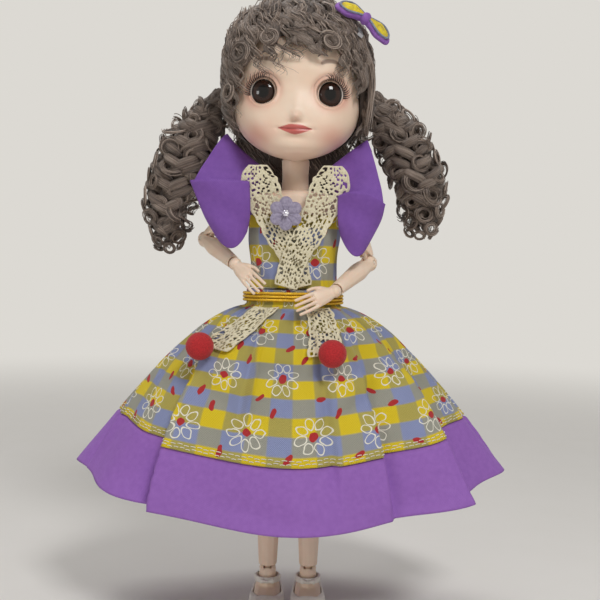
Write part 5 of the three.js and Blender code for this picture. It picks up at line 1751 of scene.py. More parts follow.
@dataclass
class Lace:
    """Crocheted cotton band, worked as a net of round yarns with open meshes and a scalloped edge."""

    mesh: float = 0.92
    yarn: float = 0.95
    scallop: float = 0.7

    def band(self, name: str, cells: tuple[int, int], place: Place) -> Piece:
        """Makes a band of lace.

        Args:
            name: the object's name.
            cells: how many yarns lie across and along.
            place: gives points in millimetres from shares across and along.

        Returns:
            The lace, with rounded yarns.
        """
        columns, rows = cells

        def worked(u: Array, v: Array) -> Array:
            """Places of the yarns, uneven as handwork is."""
            edge = np.clip((np.abs(u - 0.5) - 0.36) / 0.14, 0, 1)
            bump = np.abs(np.sin(math.pi * v * rows / 6)) * self.scallop / (columns * self.mesh)
            across = u + np.sign(u - 0.5) * edge * bump
            across = across + 0.24 / columns * np.sin(91.7 * u * columns + 37.3 * v * rows)
            along = v + 0.26 / rows * np.sin(53.1 * u * columns - 71.9 * v * rows)
            return place(np.clip(across, -0.05, 1.05), np.clip(along, 0, 1))

        net = surface(name, columns, rows, worked)
        index = np.arange(len(net.data.polygons))
        column, row = index % columns, index // columns
        inside = (column > 0) & (column < columns - 1) & (row > 0) & (row < rows - 1)
        # Worked by hand: single and double meshes lie in fans, and some are closed.
        draw = np.random.default_rng(columns * rows).random(len(index))
        fan = np.hypot((column - columns / 2) * 1.1, (row % 14) - 7) % 4 < 2.2
        open_mesh = np.where(fan, (column % 2 == 1) & ((row + column // 2) % 3 != 0), (column + row) % 2 == 0)
        open_mesh &= draw > np.where(fan, 0.12, 0.45)
        open_meshes(net, inside & open_mesh)
        modify(net, "SOLIDIFY", thickness=self.yarn * MM, offset=0.0)
        modify(net, "SUBSURF", levels=2)
        smooth(net)
        return net


@dataclass
class Scarf:
    """Lace scarf crossed over the bodice, its two tails and their pompoms."""

    skirt: Skirt
    bodice: Bodice
    width: float = 14.0
    straight_up_to: float = 193.0
    collar_top: float = 220.0
    collar_lean: float = 5.0
    lifts: Pair = (2.6, 0.7)
    yarn: float = 0.8
    pompom: float = 6.4
    # Place across, height and share of the width, down the left band
    stations: Rows = (
        (17.6, 218.2, 0.62), (17.4, 212.0, 1.14), (14.2, 203.0, 1.14), (10.0, 193.0, 1.02),
        (6.2, 185.0, 0.92), (3.4, 180.4, 0.86), (-1.0, 170.6, 0.82), (-3.5, 160.9, 0.76))
    # Way round from the front of each tail's top and end
    tail_turns: tuple[Pair, ...] = ((0.4, 0.3), (-0.42, -0.72))
    tail_along: Pair = (3.4, 32.0)
    # Share from the pompom up, and half angle
    tail_half: tuple[Pair, ...] = ((0.0, 0.16), (0.35, 0.165), (0.7, 0.175), (1.0, 0.2))
    yarns: int = 17

    def build(self) -> None:
        """Builds the bands, the tails and the pompoms."""
        cotton = FibreFinish("#ece4c9", "#cfc5a3", tuft=0.7, depth=0.12, sheen=0.25).make("crochet cotton")
        felt = FibreFinish("#c4262a", "#a0191f", tuft=0.6, depth=0.1, sheen=0.12).make("red flock")
        for k, side in enumerate(Side):
            band = self.band(side, self.lifts[k])
            dress(band, cotton, "chest", "lace", f"lace_scarf_{side.label}")
            tail = self.tail(side, *self.tail_turns[k])
            dress(tail, cotton, "pelvis", "lace", f"lace_tail_{side.label}")
            self.pompom_piece(side, felt)

    def band(self, side: Side, lift: float) -> Piece:
        """One band from the collar point to the waist seam.

        Args:
            side: the doll's side.
            lift: how far it stands off the bodice.

        Returns:
            The piece.
        """
        table = np.asarray(self.stations, float)
        run = np.r_[0, np.cumsum(np.hypot(*np.diff(table[:, :2], axis=0).T))]
        stops = np.c_[run / run[-1], table]

        def place(u: Array, v: Array) -> Array:
            """Points of the band, from the waist up."""
            x, z, wide = through(stops, 1 - v).T
            ahead = through(stops, np.clip(1 - v + 0.01, 0, 1)) - through(stops, np.clip(1 - v - 0.01, 0, 1))
            way = unit(ahead[:, :2])
            off = (u - 0.5) * self.width * wide
            x, z = x - way[:, 1] * off, z + way[:, 0] * off
            held = np.minimum(z, self.straight_up_to)
            rise = np.maximum(0.0, z - held) / (self.collar_top - self.straight_up_to)
            y = self.bodice.front(np.clip(x, -12, 12), held) - lift - self.yarn / 2 - self.collar_lean * rise
            y = y + 0.8 * (u - 0.5) ** 2
            return np.stack([side.value * x, y, z], -1)

        long, lace = float(run[-1]), Lace()
        band = lace.band(f"lace_scarf_{side.label}_net", (self.yarns, int(long / lace.mesh)), place)
        return band

    def tail(self, side: Side, near: float, far: float) -> Piece:
        """One tail, flaring from under the cord to its pompom.

        Args:
            side: the doll's side.
            near: its way round at the top.
            far: its way round at the end.

        Returns:
            The piece.
        """
        start, end = self.tail_along

        def place(u: Array, v: Array) -> Array:
            """Points of the tail, from the pompom up."""
            along = mix(end, start, v)
            half = through(self.tail_half, v)[:, 0]
            turn = FRONT + mix(far, near, v) + (u - 0.5) * 2 * half
            sag = -0.5 * np.cos(math.pi * (u - 0.5)) + 0.5
            return self.skirt.at(turn, along + 3.0 * (u - 0.5) ** 2 * (1 - v), 1.15 + sag)

        tail = Lace().band(f"lace_tail_{side.label}_net", (self.yarns, 32), place)
        return tail

    def pompom_piece(self, side: Side, felt: Material) -> None:
        """One flocked ball, where the frame has its pompom.

        Args:
            side: the doll's side.
            felt: its finish.
        """
        middle = sum(box_of(f"pompom_{side.label}")) / 2

        def place(turn: Array, share: Array) -> Array:
            """Points of the ball, with its fuzz."""
            tall = math.pi * (share - 0.5)
            fuzz = 0.08 * np.sin(9 * turn + 5 * tall) * np.cos(tall) * np.sin(7 * tall)
            return middle + ball(turn, share) * (self.pompom + fuzz)[:, None]

        piece = globe(f"pompom_{side.label}_flock", 96, 64, place)
        dress(piece, felt, "pelvis", "wool", f"pompom_{side.label}")


@dataclass
class Trims:
    """Gold waist cord and the flower brooch."""

    half: Pair = (24.0, 17.4)
    low: float = 153.3
    turns: int = 3
    pitch: float = 1.6
    start: float = 0.5
    diameter: float = 1.5
    plies: int = 3
    lay_length: float = 2.6
    petals: int = 6
    petal_out: float = 4.5
    petal_half: Way = (3.5, 1.0, 3.2)
    stones: int = 7
    stone: float = 0.62
    stone_ring: float = 1.05

    def cord_at(self, turns: Array) -> Array:
        """The cord's own line."""
        angle = FRONT + self.start + 2 * math.pi * turns
        return np.stack([self.half[0] * np.cos(angle), self.half[1] * np.sin(angle),
                         self.low + self.pitch * turns], -1)

    def build(self) -> None:
        """Builds the cord and the brooch."""
        self.cord()
        self.brooch()

    def cord(self) -> None:
        """Winds the plies round the cord's line."""
        line = self.cord_at(np.linspace(0, self.turns, 40 * self.turns + 1))
        length = length_of(line)
        turns = np.linspace(0, self.turns, int(length * 3.5))
        middle = self.cord_at(turns)
        ahead = unit(np.gradient(middle, axis=0))
        side = unit(np.cross(ahead, (0.0, 0.0, 1.0)))
        over = np.cross(side, ahead)
        ply = self.diameter * 0.27
        paths = []
        for k in range(self.plies):
            phase = 2 * math.pi * (turns / self.turns * length / self.lay_length + k / self.plies)
            paths.append(middle + (self.diameter / 2 - ply) * (np.cos(phase)[:, None] * side
                                                               + np.sin(phase)[:, None] * over))
        cord = threads("waist_cord_gold", paths, ply, sides=6)
        gold = FibreFinish("#f8cf3e", "#d9a520", tuft=0.9, depth=0.05, sheen=0.0, metallic=0.45,
                           roughness=0.24).make("gold lame cord")
        dress(cord, gold, "pelvis", "gold_cord", "waist_cord")

    def brooch(self) -> None:
        """Six felt petals with a cluster of stones."""
        petals = [self.petal(k) for k in range(self.petals)]
        felt = FibreFinish("#a79fb4", "#877f97", tuft=1.2, depth=0.12, sheen=0.25).make("lavender felt")
        dress(joined("brooch_flower_felt", petals), felt, "chest", "felt", "brooch_flower")
        middle = sum(box_of("brooch_gem")) / 2
        stones = []
        for k in range(self.stones):
            way = k * math.pi / 3
            ring = self.stone_ring if k else 0.0
            spot = middle + np.array([ring * math.cos(way), 0.3 if k else 0.0, ring * math.sin(way)])
            bpy.ops.mesh.primitive_ico_sphere_add(
                subdivisions=2, radius=self.stone * MM, location=spot * MM)
            stones.append(bpy.context.object)
        for stone in stones:
            select(stone)
            bpy.ops.object.transform_apply(location=True, rotation=True, scale=True)
        dress(joined("brooch_gem_stones", stones), CutStone().make("cut stone"), "chest", "stone",
              "brooch_gem")

    def petal(self, k: int) -> Piece:
        """One petal of the flower, by its number.

        Args:
            k: the number.

        Returns:
            The petal, to be joined with the others.
        """
        way = 2 * math.pi * (k + 0.5) / self.petals
        middle = sum(box_of("brooch_flower")) / 2

        def place(turn: Array, share: Array) -> Array:
            """Points of the petal, which is cupped and narrows towards the stones."""
            form = ball(turn, share) * self.petal_half
            along = form[:, 0] + self.petal_out
            form[:, 1] -= 0.035 * (along - self.petal_out) ** 2 - 0.12 * (k % 2)
            form[:, 1] += 0.14 * np.cos(2.6 * form[:, 2])
            wide = form[:, 2] * (0.55 + 0.45 * smoothstep(1.0, 5.0, along))
            x = along * math.cos(way) - wide * math.sin(way)
            z = along * math.sin(way) + wide * math.cos(way)
            return middle + np.stack([x, form[:, 1], z], -1)

        return globe(f"petal_{k}", 40, 26, place)


WING_BACK = (((18.5, 12.0, 205.0), (27.0, 15.0, 204.0), (36.0, 14.0, 199.0)),
             ((21.5, 14.0, 192.0), (26.0, 16.0, 189.0), (31.0, 14.5, 186.0)))

LEFT_RUFFLE = Ruffle(
    Side.LEFT,
    (((22.0, -15.5, 186.0), (28.5, -17.0, 176.4), (34.5, -14.5, 181.0)),
     ((20.5, -17.0, 193.0), (31.0, -20.0, 191.5), (40.5, -15.5, 192.8)),
     ((20.3, -18.5, 204.1), (30.6, -23.5, 205.9), (42.2, -19.5, 200.6))),
    (((20.3, -13.0, 202.0), (31.0, -15.0, 203.2), (42.0, -14.0, 200.4)),
     ((18.5, -6.5, 213.0), (31.0, -9.0, 217.0), (40.4, -11.5, 211.0)),
     ((17.0, -3.0, 219.0), (27.0, -3.0, 227.0), (34.5, -4.0, 232.3)),
     ((17.0, 5.0, 216.0), (28.0, 8.0, 220.0), (36.5, 8.0, 217.0)),
     *WING_BACK))

RIGHT_RUFFLE = Ruffle(
    Side.RIGHT,
    (((22.5, -14.0, 187.0), (29.0, -16.5, 179.0), (37.0, -14.5, 184.8)),
     ((21.0, -15.6, 196.0), (32.5, -19.5, 192.0), (42.6, -17.0, 194.7)),
     ((21.5, -18.0, 210.2), (35.0, -23.0, 210.6), (48.9, -21.0, 210.0))),
    (((21.5, -12.5, 207.6), (35.0, -14.5, 207.8), (48.4, -16.0, 208.8)),
     ((19.0, -6.5, 214.0), (32.0, -8.5, 219.0), (42.4, -12.0, 220.5)),
     ((17.0, -3.0, 219.0), (27.0, -3.0, 227.0), (33.4, -4.0, 234.0)),
     ((17.0, 5.0, 216.0), (28.0, 8.0, 220.0), (36.5, 8.0, 218.0)),
     *WING_BACK))


@dataclass
class Shoes:
    """White shoes with an ankle strap and a small bow."""

    voxel: float = 0.42
    rounds: int = 4
    # Place across, half length and half height of the bow's loops and knot
    bow_parts: tuple[Way, ...] = ((-1.9, 1.9, 1.5), (1.9, 1.9, 1.5), (0.0, 0.7, 0.8))

    def build(self) -> None:
        """Rounds the frame's shoe pieces off and adds the bows."""
        vinyl = ShoeVinyl().make("shoe vinyl")
        for side in Side:
            for part in ("shoe_upper", "shoe_sole", "shoe_strap"):
                node = f"{part}_{side.label}"
                piece = moulded(node, node + "_vinyl", self.voxel, self.rounds)
                dress(piece, vinyl, f"foot_{side.label}", "shoe", node)
            dress(self.bow(side), vinyl, f"foot_{side.label}", "shoe")

    def bow(self, side: Side) -> Piece:
        """A flat bow on the front of the strap.

        Args:
            side: the doll's side.

        Returns:
            The piece.
        """
        low, high = box_of(f"shoe_strap_{side.label}")
        seat = np.array([(low[0] + high[0]) / 2, low[1] - 0.2, (low[2] + high[2]) / 2])
        parts = []
        for k, (across, long, tall) in enumerate(self.bow_parts):
            def place(turn: Array, share: Array, across: float = across, long: float = long,
                      tall: float = tall) -> Array:
                """Points of a loop or the knot."""
                form = ball(turn, share)
                pinch = 0.45 + 0.55 * smoothstep(-0.6, 0.8, form[:, 0] * np.sign(across or 1))
                return seat + np.stack([across + form[:, 0] * long, 0.75 * form[:, 1],
                                        form[:, 2] * tall * pinch], -1)

            parts.append(globe(f"bow_part_{k}", 28, 18, place))
        return joined(f"shoe_bow_{side.label}", parts)


# Wig


@dataclass
class Wig:
    """Crimped doll wig: rooted crown, curled fringe, side lock, ringlet bunches and hair at the back."""

    head: Head
    seed: int = 7
    fibre: float = 0.21
    cap: float = 3.4
    whorl_lift: float = 4.9
    whorl_rings: tuple[tuple[float, int], ...] = ((6.6, 34), (4.4, 24), (2.4, 14))
    crown_waves: int = 64
    crown_locks: int = 58
    crown_strands: int = 7
    fringe_locks: int = 30
    fringe_strands: int = 7
    ringlets: int = 15
    ringlet_half: Pair = (3.4, 4.6)
    ringlet_pitch: Pair = (9.5, 13.0)
    lock_half: Pair = (2.1, 2.8)
    lock_sides: int = 12
    bunch_curls: int = 62
    curl_size: Pair = (3.2, 6.2)
    curl_hairs: int = 13
    bunch_half: Pair = (18.4, 14.8)
    # Wrist, elbow and shoulder of the right arm at its highest, where it passes the longer bunch
    raised_arm: tuple[Way, ...] = ((-44.4, -8.0, 176.6), (-51.2, 16.4, 196.2), (-28.0, 0.0, 200.0))
    arm_room: float = 7.4
    bunch_root: Way = (38.1, 15.6, 259.0)
    bunch_out: tuple[float, ...] = (0.0, 12.4, 24.87, 26.9)
    bunch_back: tuple[float, ...] = (0.0, 3.6, 5.4, 3.4)
    bunch_down: tuple[float, ...] = (0.0, 0.25, 0.6, 1.0)
    bunch_long: Pair = (76.0, 86.0)
    swell: tuple[float, ...] = (0.2, 0.42, 0.68, 0.88, 0.97, 0.98, 0.9, 0.74, 0.52, 0.24)
    # Way round from the front and height of the cap's edge, as shares of the head
    hairline: tuple[Pair, ...] = (
        (0.0, 0.75), (0.6, 0.74), (0.95, 0.66), (1.2, 0.42), (1.45, 0.24), (3.2, 0.215))
    # Way round from the front and height of the fringe's tips, the doll's right side first
    fringe_tips: tuple[Pair, ...] = (
        (-1.32, 237.0), (-1.12, 241.0), (-0.9, 252.0), (-0.62, 260.0), (-0.35, 264.5), (0.0, 267.5),
        (0.35, 266.0), (0.7, 262.0), (0.95, 256.0), (1.15, 250.0))
    # Way round from the front, height and size of the fringe's pin curls
    pin_curls: tuple[Way, ...] = (
        (-0.75, 268.0, 5.4), (-1.05, 252.0, 4.4), (-0.3, 273.0, 4.6), (0.35, 272.0, 4.4))
    # Share along the side lock and place across
    side_lock: tuple[Pair, ...] = ((0.0, 30.5), (0.35, 34.8), (0.7, 34.9), (1.0, 33.6))
    side_lock_hairs: int = 170
    back_locks: int = 44
    back_strands: int = 14
    # Height, half width, half depth and middle of the hair at the back
    back_rows: Rows = (
        (191.0, 18.6, 3.0, 31.0), (202.5, 28.5, 6.0, 33.0), (223.2, 37.0, 8.0, 32.0),
        (238.0, 37.0, 7.0, 29.0), (248.0, 32.0, 6.0, 28.0))

    def build(self) -> None:
        """Builds each part of the wig."""
        self.rng = np.random.default_rng(self.seed)
        self.hair = SyntheticHair().make("nylon hair")
        self.curled = CurledLock().make("curled nylon hair")
        # Painted shade for the cap of roots and for the dark cores inside the hair
        self.roots = ScalpShade().make("hair roots")
        self.crown()
        dress(self.strands("fringe_curls", self.fringe_paths()), self.hair, "head", "hair", "hair_fringe")
        dress(self.wound("fringe_locks", self.fringe), self.curled, "head", "hair")
        dress(self.strands("side_lock_strands", self.side_lock_paths()), self.hair, "head", "hair",
              "hair_side_lock")
        for k, side in enumerate(Side):
            self.bunch(side, self.bunch_long[k])
        self.back()
        self.whorl()

    def strands(self, name: str, paths: list[Array]) -> Piece:
        """Makes strands that thin out towards their tips."""
        taper = [1.0 - 0.7 * smoothstep(0.72, 1.0, np.linspace(0, 1, len(path))) for path in paths]
        return threads(name, paths, self.fibre, taper)

    def reach(self, share: Array) -> Array:
        """Half width of the head at shares of its height, never too small to divide by."""
        return np.maximum(self.head.section(share)[0], 8.0)

    def crown(self) -> None:
        """Cap of roots with wavy strands over it."""
        def place(u: Array, v: Array) -> Array:
            """Points of the cap, from the hairline to the top."""
            way = math.pi * (2 * u - 1)
            share = mix(through(self.hairline, np.abs(way))[:, 0], 1.0, v)
            return self.head.at(FRONT + way, share, self.cap - 2.6 * smoothstep(0.12, 0.0, v))

        cap = surface("hair_cap", 144, 60, place, True)
        dress(cap, self.roots, "head", "hair", "hair_crown")
        locks = []
        for k in range(self.crown_waves):
            turn = FRONT + GOLDEN * k
            high = 0.996 if k < 20 else 0.985 - 0.3 * self.rng.random()
            locks.append(self.wave_lock(turn, high, self.hair_end(turn), wave=14.0, swing=2.0,
                                        lift=3.7, half=2.3))
        dress(self.wound("crown_locks", locks), self.curled, "head", "hair")
        paths = []
        for k in range(self.crown_locks):
            turn = FRONT + GOLDEN * k
            top = k < 22
            high = 0.997 if top else 0.992 - 0.3 * self.rng.random() ** 1.4
            paths += self.laid(turn, high, self.hair_end(turn), self.crown_strands, wave=12.5, swing=1.7,
                               lift=(4.6, 4.3), spread=2.6 if top else 1.9)
        dress(self.strands("crown_strands", paths), self.hair, "head", "hair")

    def whorl(self) -> None:
        """Turned hair on top of the head, where the crown's locks meet."""
        top = self.head.at(np.array([FRONT]), np.array([1.0]), self.whorl_lift)[0]
        paths, locks = [], []
        for size, count in self.whorl_rings:
            loose, line, thick = self.swirl(top, unit(np.array([0.0, 0.1, 1.0])), size, count)
            paths += loose
            locks.append((line, thick))
        dress(self.strands("crown_whorl_hairs", paths), self.hair, "head", "hair")
        dress(self.wound("crown_whorl", locks), self.curled, "head", "hair")

    def hair_end(self, turn: float) -> float:
        """How low the crown's hair hangs at a way round, as a share of the head; it is longer behind.

        Args:
            turn: the way round in radians.

        Returns:
            The share.
        """
        way = abs(float(from_front(turn)))
        edge = float(through(self.hairline, np.array([way]))[0, 0])
        return edge + 0.02 + 0.05 * float(smoothstep(1.3, 1.5, way))

    def wound(self, name: str, locks: list[tuple[Array, Array]]) -> Piece:
        """Makes locks from their lines and half thicknesses.

        Args:
            name: the piece's name.
            locks: each lock's line and half thickness along it.

        Returns:
            The piece.
        """
        lines, thick = zip(*locks)
        piece = threads(name, lines, 1.0, thick, self.lock_sides)
        mark_round(piece, self.lock_sides)
        return piece

    def wave_lock(self, turn: float, high: float, low: float, wave: float, swing: float, lift: float,
                  half: float) -> tuple[Array, Array]:
        """A wavy lock that lies on the head.

        Args:
            turn: its way round the head.
            high: share of the height where it is rooted.
            low: share of the height where it ends.
            wave: the length of a wave.
            swing: how far a wave swings.
            lift: how far its middle stands off the skin.
            half: its half thickness.

        Returns:
            Its line and its half thickness along it.
        """
        rough = self.head.at(np.full(24, turn), np.linspace(high, low, 24), lift)
        length = length_of(rough)
        t = np.linspace(0, 1, max(12, int(9 * length / wave)))
        share, own = mix(high, low, t), self.rng.uniform(0, 2 * math.pi)
        phase = own + 2 * math.pi * length * t / (wave * self.rng.uniform(0.85, 1.2))
        across = swing * np.sin(phase) * (0.3 + 0.7 * t)
        way = turn + self.rng.normal(0, 0.2) * t + across / self.reach(share)
        line = self.head.at(way, share, lift + 0.45 * swing * np.cos(phase) * t)
        thick = half * self.rng.uniform(0.8, 1.1) * (0.35 + 0.65 * smoothstep(0.0, 0.25, t))
        return line, thick * (1 - 0.85 * smoothstep(0.8, 1.0, t))

    def laid(self, turn: float, high: float, low: float, count: int, wave: float, swing: float,
             lift: Pair, spread: float) -> list[Array]:
        """A lock of wavy strands that lies on the head.

        Args:
            turn: its way round the head.
            high: share of the height where it is rooted.
            low: share of the height where it ends.
            count: how many strands it has.
            wave: the length of a wave.
            swing: how far a wave swings.
            lift: how far it stands off the skin at its root and its end.
            spread: how far its strands lie apart.

        Returns:
            A path for each strand.
        """
        rough = self.head.at(np.full(24, turn), np.linspace(high, low, 24), lift[0])
        length = length_of(rough)
        t = np.linspace(0, 1, max(8, int(6.4 * length / wave)))
        share, own = mix(high, low, t), self.rng.uniform(0, 2 * math.pi)
        drift = self.rng.normal(0, 0.25)
        paths = []
        for _ in range(count):
            phase = own + self.rng.normal(0, 0.45)
            phase = phase + 2 * math.pi * length * t / (wave * self.rng.uniform(0.92, 1.1))
            loose = 0.5 + 0.5 * t
            across = swing * np.sin(phase) * (0.4 + 0.6 * t) + self.rng.normal(0, spread) * loose
            off = mix(*lift, t) + 0.8 * swing * np.cos(phase) * loose + self.rng.normal(0, 0.35)
            way = turn + drift * t + across / self.reach(share)
            paths.append(self.head.at(way, share + self.rng.normal(0, 0.012) * t, np.maximum(off, 1.0)))
        return paths

    def fringe_paths(self) -> list[Array]:
        """Curls over the forehead, longer at the temples; the locks are kept for their own piece."""
        paths = []
        self.fringe = []
        first, last = self.fringe_tips[0][0], self.fringe_tips[-1][0]
        for k, way in enumerate(np.linspace(first, last, self.fringe_locks)):
            tip = float(through(self.fringe_tips, np.array([way]))[0, 0]) + self.rng.normal(0, 1.6)
            low = (tip - self.head.chin) / self.head.height
            high = 0.9 - 0.12 * (k % 3) / 2
            self.fringe.append(self.wave_lock(FRONT + way, high, low + 0.02, wave=10.0, swing=2.0,
                                              lift=3.4, half=1.7))
            paths += self.laid(FRONT + way, high, low, self.fringe_strands, wave=9.0, swing=1.9,
                               lift=(5.6, 2.6), spread=1.5)
        for way, height, size in self.pin_curls:
            share = np.array([(height - self.head.chin) / self.head.height])
            turn = np.array([FRONT + way])
            middle = self.head.at(turn, share, 5.2)[0]
            out = unit(self.head.at(turn, share, 7.0)[0] - self.head.at(turn, share, 3.0)[0])
            loose, line, thick = self.swirl(middle, out, size, 16)
            self.fringe.append((line, thick))
            paths += loose
        return paths

    def swirl(self, middle: Array, out: Array, size: float, count: int) -> tuple[list[Array], Array, Array]:
        """A pin curl: a lock wound up in a flat spiral, with loose hairs on it.

        Args:
            middle: where its middle lies.
            out: the way it faces.
            size: its outer radius.
            count: how many loose hairs it has.

        Returns:
            A path for each loose hair, the lock's line and its half thickness along it.
        """
        side = unit(np.cross(out, (0.1, 0.2, 1.0)))
        over = np.cross(out, side)
        own, hand = self.rng.uniform(0, 2 * math.pi), self.rng.choice((-1, 1))
        close = self.rng.uniform(0.3, 0.65)
        t = np.linspace(0, 1, 20)

        def spiral(turn: Array, radius: Array, rise: Array) -> Array:
            """Points of a spiral that faces out."""
            return (middle + (radius * np.cos(hand * turn))[:, None] * side
                    + (0.85 * radius * np.sin(hand * turn))[:, None] * over + rise[:, None] * out)

        paths = []
        for _ in range(count):
            turn = own + self.rng.normal(0, 0.5) + 2 * math.pi * self.rng.uniform(0.7, 1.5) * t
            ragged = 1 + 0.07 * np.sin(8 * t + self.rng.uniform(0, 6))
            radius = size * (1.1 - close * t + self.rng.normal(0, 0.12)) * ragged
            paths.append(spiral(turn, radius, self.rng.uniform(-0.4, 0.9) + self.rng.uniform(-0.6, 0.6) * t))
        line = spiral(own + 2 * math.pi * 1.3 * t, size * (1.0 - 0.5 * t), -0.7 + 0.9 * t)
        thick = 0.15 * size * smoothstep(-0.1, 0.25, t) * (1 - 0.8 * smoothstep(0.7, 1.0, t))
        return paths, line, thick

    def side_lock_paths(self) -> list[Array]:
        """Nearly straight strands beside the left cheek."""
        paths = []
        t = np.linspace(0, 1, 16)
        for _ in range(self.side_lock_hairs):
            back, out = self.rng.uniform(-1, 1), self.rng.normal(0, 0.7)
            x = through(self.side_lock, t)[:, 0] + out
            y = mix(-13.5, -10.0, t) + 5.0 * back * mix(1.0, 0.75, t)
            z = mix(279.0, self.rng.uniform(233.0, 240.0), t ** 0.95)
            crimp = 0.35 * np.sin(9.0 * t + self.rng.uniform(0, 6.3))
            paths.append(np.stack([x + crimp - 0.02 * (y + 12) ** 2, y + crimp, z], -1))
        return paths

    def spine(self, side: Side, length: float) -> Spine:
        """A bunch's middle line and its swelling.

        Args:
            side: the doll's side.
            length: how far the bunch hangs down.

        Returns:
            A function that gives points and shares of the full width along the bunch.
        """
        root = np.asarray(self.bunch_root)
        stops = [(k / 3, side.value * (root[0] + self.bunch_out[k]), root[1] + self.bunch_back[k],
                  root[2] - self.bunch_down[k] * length) for k in range(4)]
        swell = [(k / 9, share) for k, share in enumerate(self.swell)]

        def along(t: Array) -> tuple[Array, Array]:
            """Points and shares of the full width."""
            return through(stops, t), through(swell, t)[:, 0]

        return along

    def ringlet(self, k: int, spine: Spine, length: float, outward: Array,
                ahead: Array) -> tuple[Array, Array]:
        """One ringlet: a lock wound like a corkscrew.

        Args:
            k: its number in the bunch.
            spine: the bunch's middle line and its swelling.
            length: how far the bunch hangs down.
            outward: the way out from the head.
            ahead: the way to the front.

        Returns:
            The lock's line and its half thickness along it.
        """
        angle = GOLDEN * k
        ring = 0.66 if k % 4 else 0.2
        curl, lock = self.rng.uniform(*self.ringlet_half), self.rng.uniform(*self.lock_half)
        pitch, hand = self.rng.uniform(*self.ringlet_pitch), 1 if k % 2 else -1
        own, stop = self.rng.uniform(0, 2 * math.pi), self.rng.uniform(0.74, 0.98)
        turns = 1.12 * length * stop / pitch
        t = np.linspace(0.0, stop, int(15 * turns))
        line, wide = spine(t)
        room = wide * self.bunch_half[1]
        sway = 0.12 * np.sin(2 * math.pi * length * t / self.rng.uniform(34, 50) + own)
        open_up = smoothstep(0.0, 0.26, t) * (1 - 0.35 * smoothstep(0.85, 1.0, t / stop))
        swing = np.minimum(curl, 0.42 * room) * (0.2 + 0.8 * open_up)
        thick = np.minimum(lock, 0.3 * room) * (1 - 0.85 * smoothstep(0.9, 1.0, t / stop))
        seat = np.clip(1 - (swing + thick) / np.maximum(room, 1.0), 0, ring + sway) * wide
        middle = (line + (seat * self.bunch_half[0] * math.cos(angle))[:, None] * outward
                  + (seat * self.bunch_half[1] * math.sin(angle))[:, None] * ahead)
        spin = own + hand * 2 * math.pi * turns * t / stop + 0.5 * np.sin(9 * t + own)
        wound = middle + (swing * np.cos(spin))[:, None] * outward + (swing * np.sin(spin))[:, None] * ahead
        return wound, thick

    def leave_room(self, paths: list[Array], thick: float) -> list[Array]:
        """Moves lines of hair outwards, clear of the right arm at its highest.

        Args:
            paths: lines of hair.
            thick: the half thickness of what follows them.

        Returns:
            The lines after the move.
        """
        room, moved = self.arm_room + thick, []
        for path in paths:
            line = path.copy()
            for start_at, end_at in zip(self.raised_arm[:-1], self.raised_arm[1:]):
                first, way = np.asarray(start_at), np.subtract(end_at, start_at)
                share = np.clip((line - first)[:, 1:] @ way[1:] / (way[1:] @ way[1:]), 0, 1)
                near = first + share[:, None] * way
                apart = np.linalg.norm((line - near)[:, 1:], axis=1)
                limit = near[:, 0] - np.sqrt(np.maximum(room ** 2 - apart ** 2, 0.0))
                line[:, 0] = np.where(apart < room, np.minimum(line[:, 0], limit), line[:, 0])
            moved.append(line)
        return moved

    def bunch_curl(self, k: int, spine: Spine, outward: Array,
                   ahead: Array) -> list[Array]:
        """One open curl of loose hairs that lies on a bunch.

        Args:
            k: its number on the bunch.
            spine: the bunch's middle line and its swelling.
            outward: the way out from the head.
            ahead: the way to the front.

        Returns:
            A path for each hair.
        """
        t = 0.1 + 0.86 * (k + self.rng.random()) / self.bunch_curls
        line, wide = spine(np.array([t]))
        angle = GOLDEN * k
        over, along = math.cos(angle) * outward, math.sin(angle) * ahead
        seat = 0.8 * float(wide[0]) * (self.bunch_half[0] * over + self.bunch_half[1] * along)
        drop = np.array([0.0, 0.0, -0.7 * float(smoothstep(0.75, 1.0, t))])
        out = unit(over + along + drop + self.rng.normal(0, 0.25, 3))
        size = min(self.rng.uniform(*self.curl_size), 0.5 * float(wide[0]) * self.bunch_half[1])
        return self.swirl(line[0] + seat, out, size, self.curl_hairs)[0]

    def bunch(self, side: Side, length: float) -> None:
        """One bunch of ringlets with its loose hairs and its core.

        Args:
            side: the doll's side.
            length: how far it hangs down.
        """
        spine = self.spine(side, length)
        node = f"hair_bunch_{side.label}"
        outward = np.array([side.value, 0.0, 0.0])
        ahead = np.array([0.0, -1.0, 0.0])

        def core(turn: Array, share: Array) -> Array:
            """Points of the dark core, painted shade inside the bunch, which ends above the ringlets' tips.
            """
            line, wide = spine(np.clip(0.84 * (1.0 - share), 0, 1))
            fill = 0.5 * wide * np.sqrt(np.clip(12 * share * (1 - share), 0, 1))
            return (line + (fill * self.bunch_half[0] * np.cos(turn))[:, None] * outward
                    + (fill * self.bunch_half[1] * np.sin(turn))[:, None] * ahead)

        cores = [self.ringlet(k, spine, length, outward, ahead) for k in range(self.ringlets)]
        paths = []
        for k in range(self.bunch_curls):
            paths += self.bunch_curl(k, spine, outward, ahead)
        if side is Side.RIGHT:
            paths = self.leave_room(paths, self.fibre)
            lines = self.leave_room([line for line, _ in cores], self.lock_half[1])
            cores = [(line, thick) for line, (_, thick) in zip(lines, cores)]
        locks = self.wound(node + "_ringlets", cores)
        loose = self.strands(node + "_loose_hairs", paths)
        # The core is a sheet of painted shade that shows in the gaps between the ringlets
        inner = globe(node + "_core", 40, 36, core)
        for piece, finish, nodes in ((locks, self.curled, (node,)), (loose, self.hair, ()),
                                     (inner, self.roots, ())):
            coat(piece, finish, "hair", *nodes)
            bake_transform(piece)

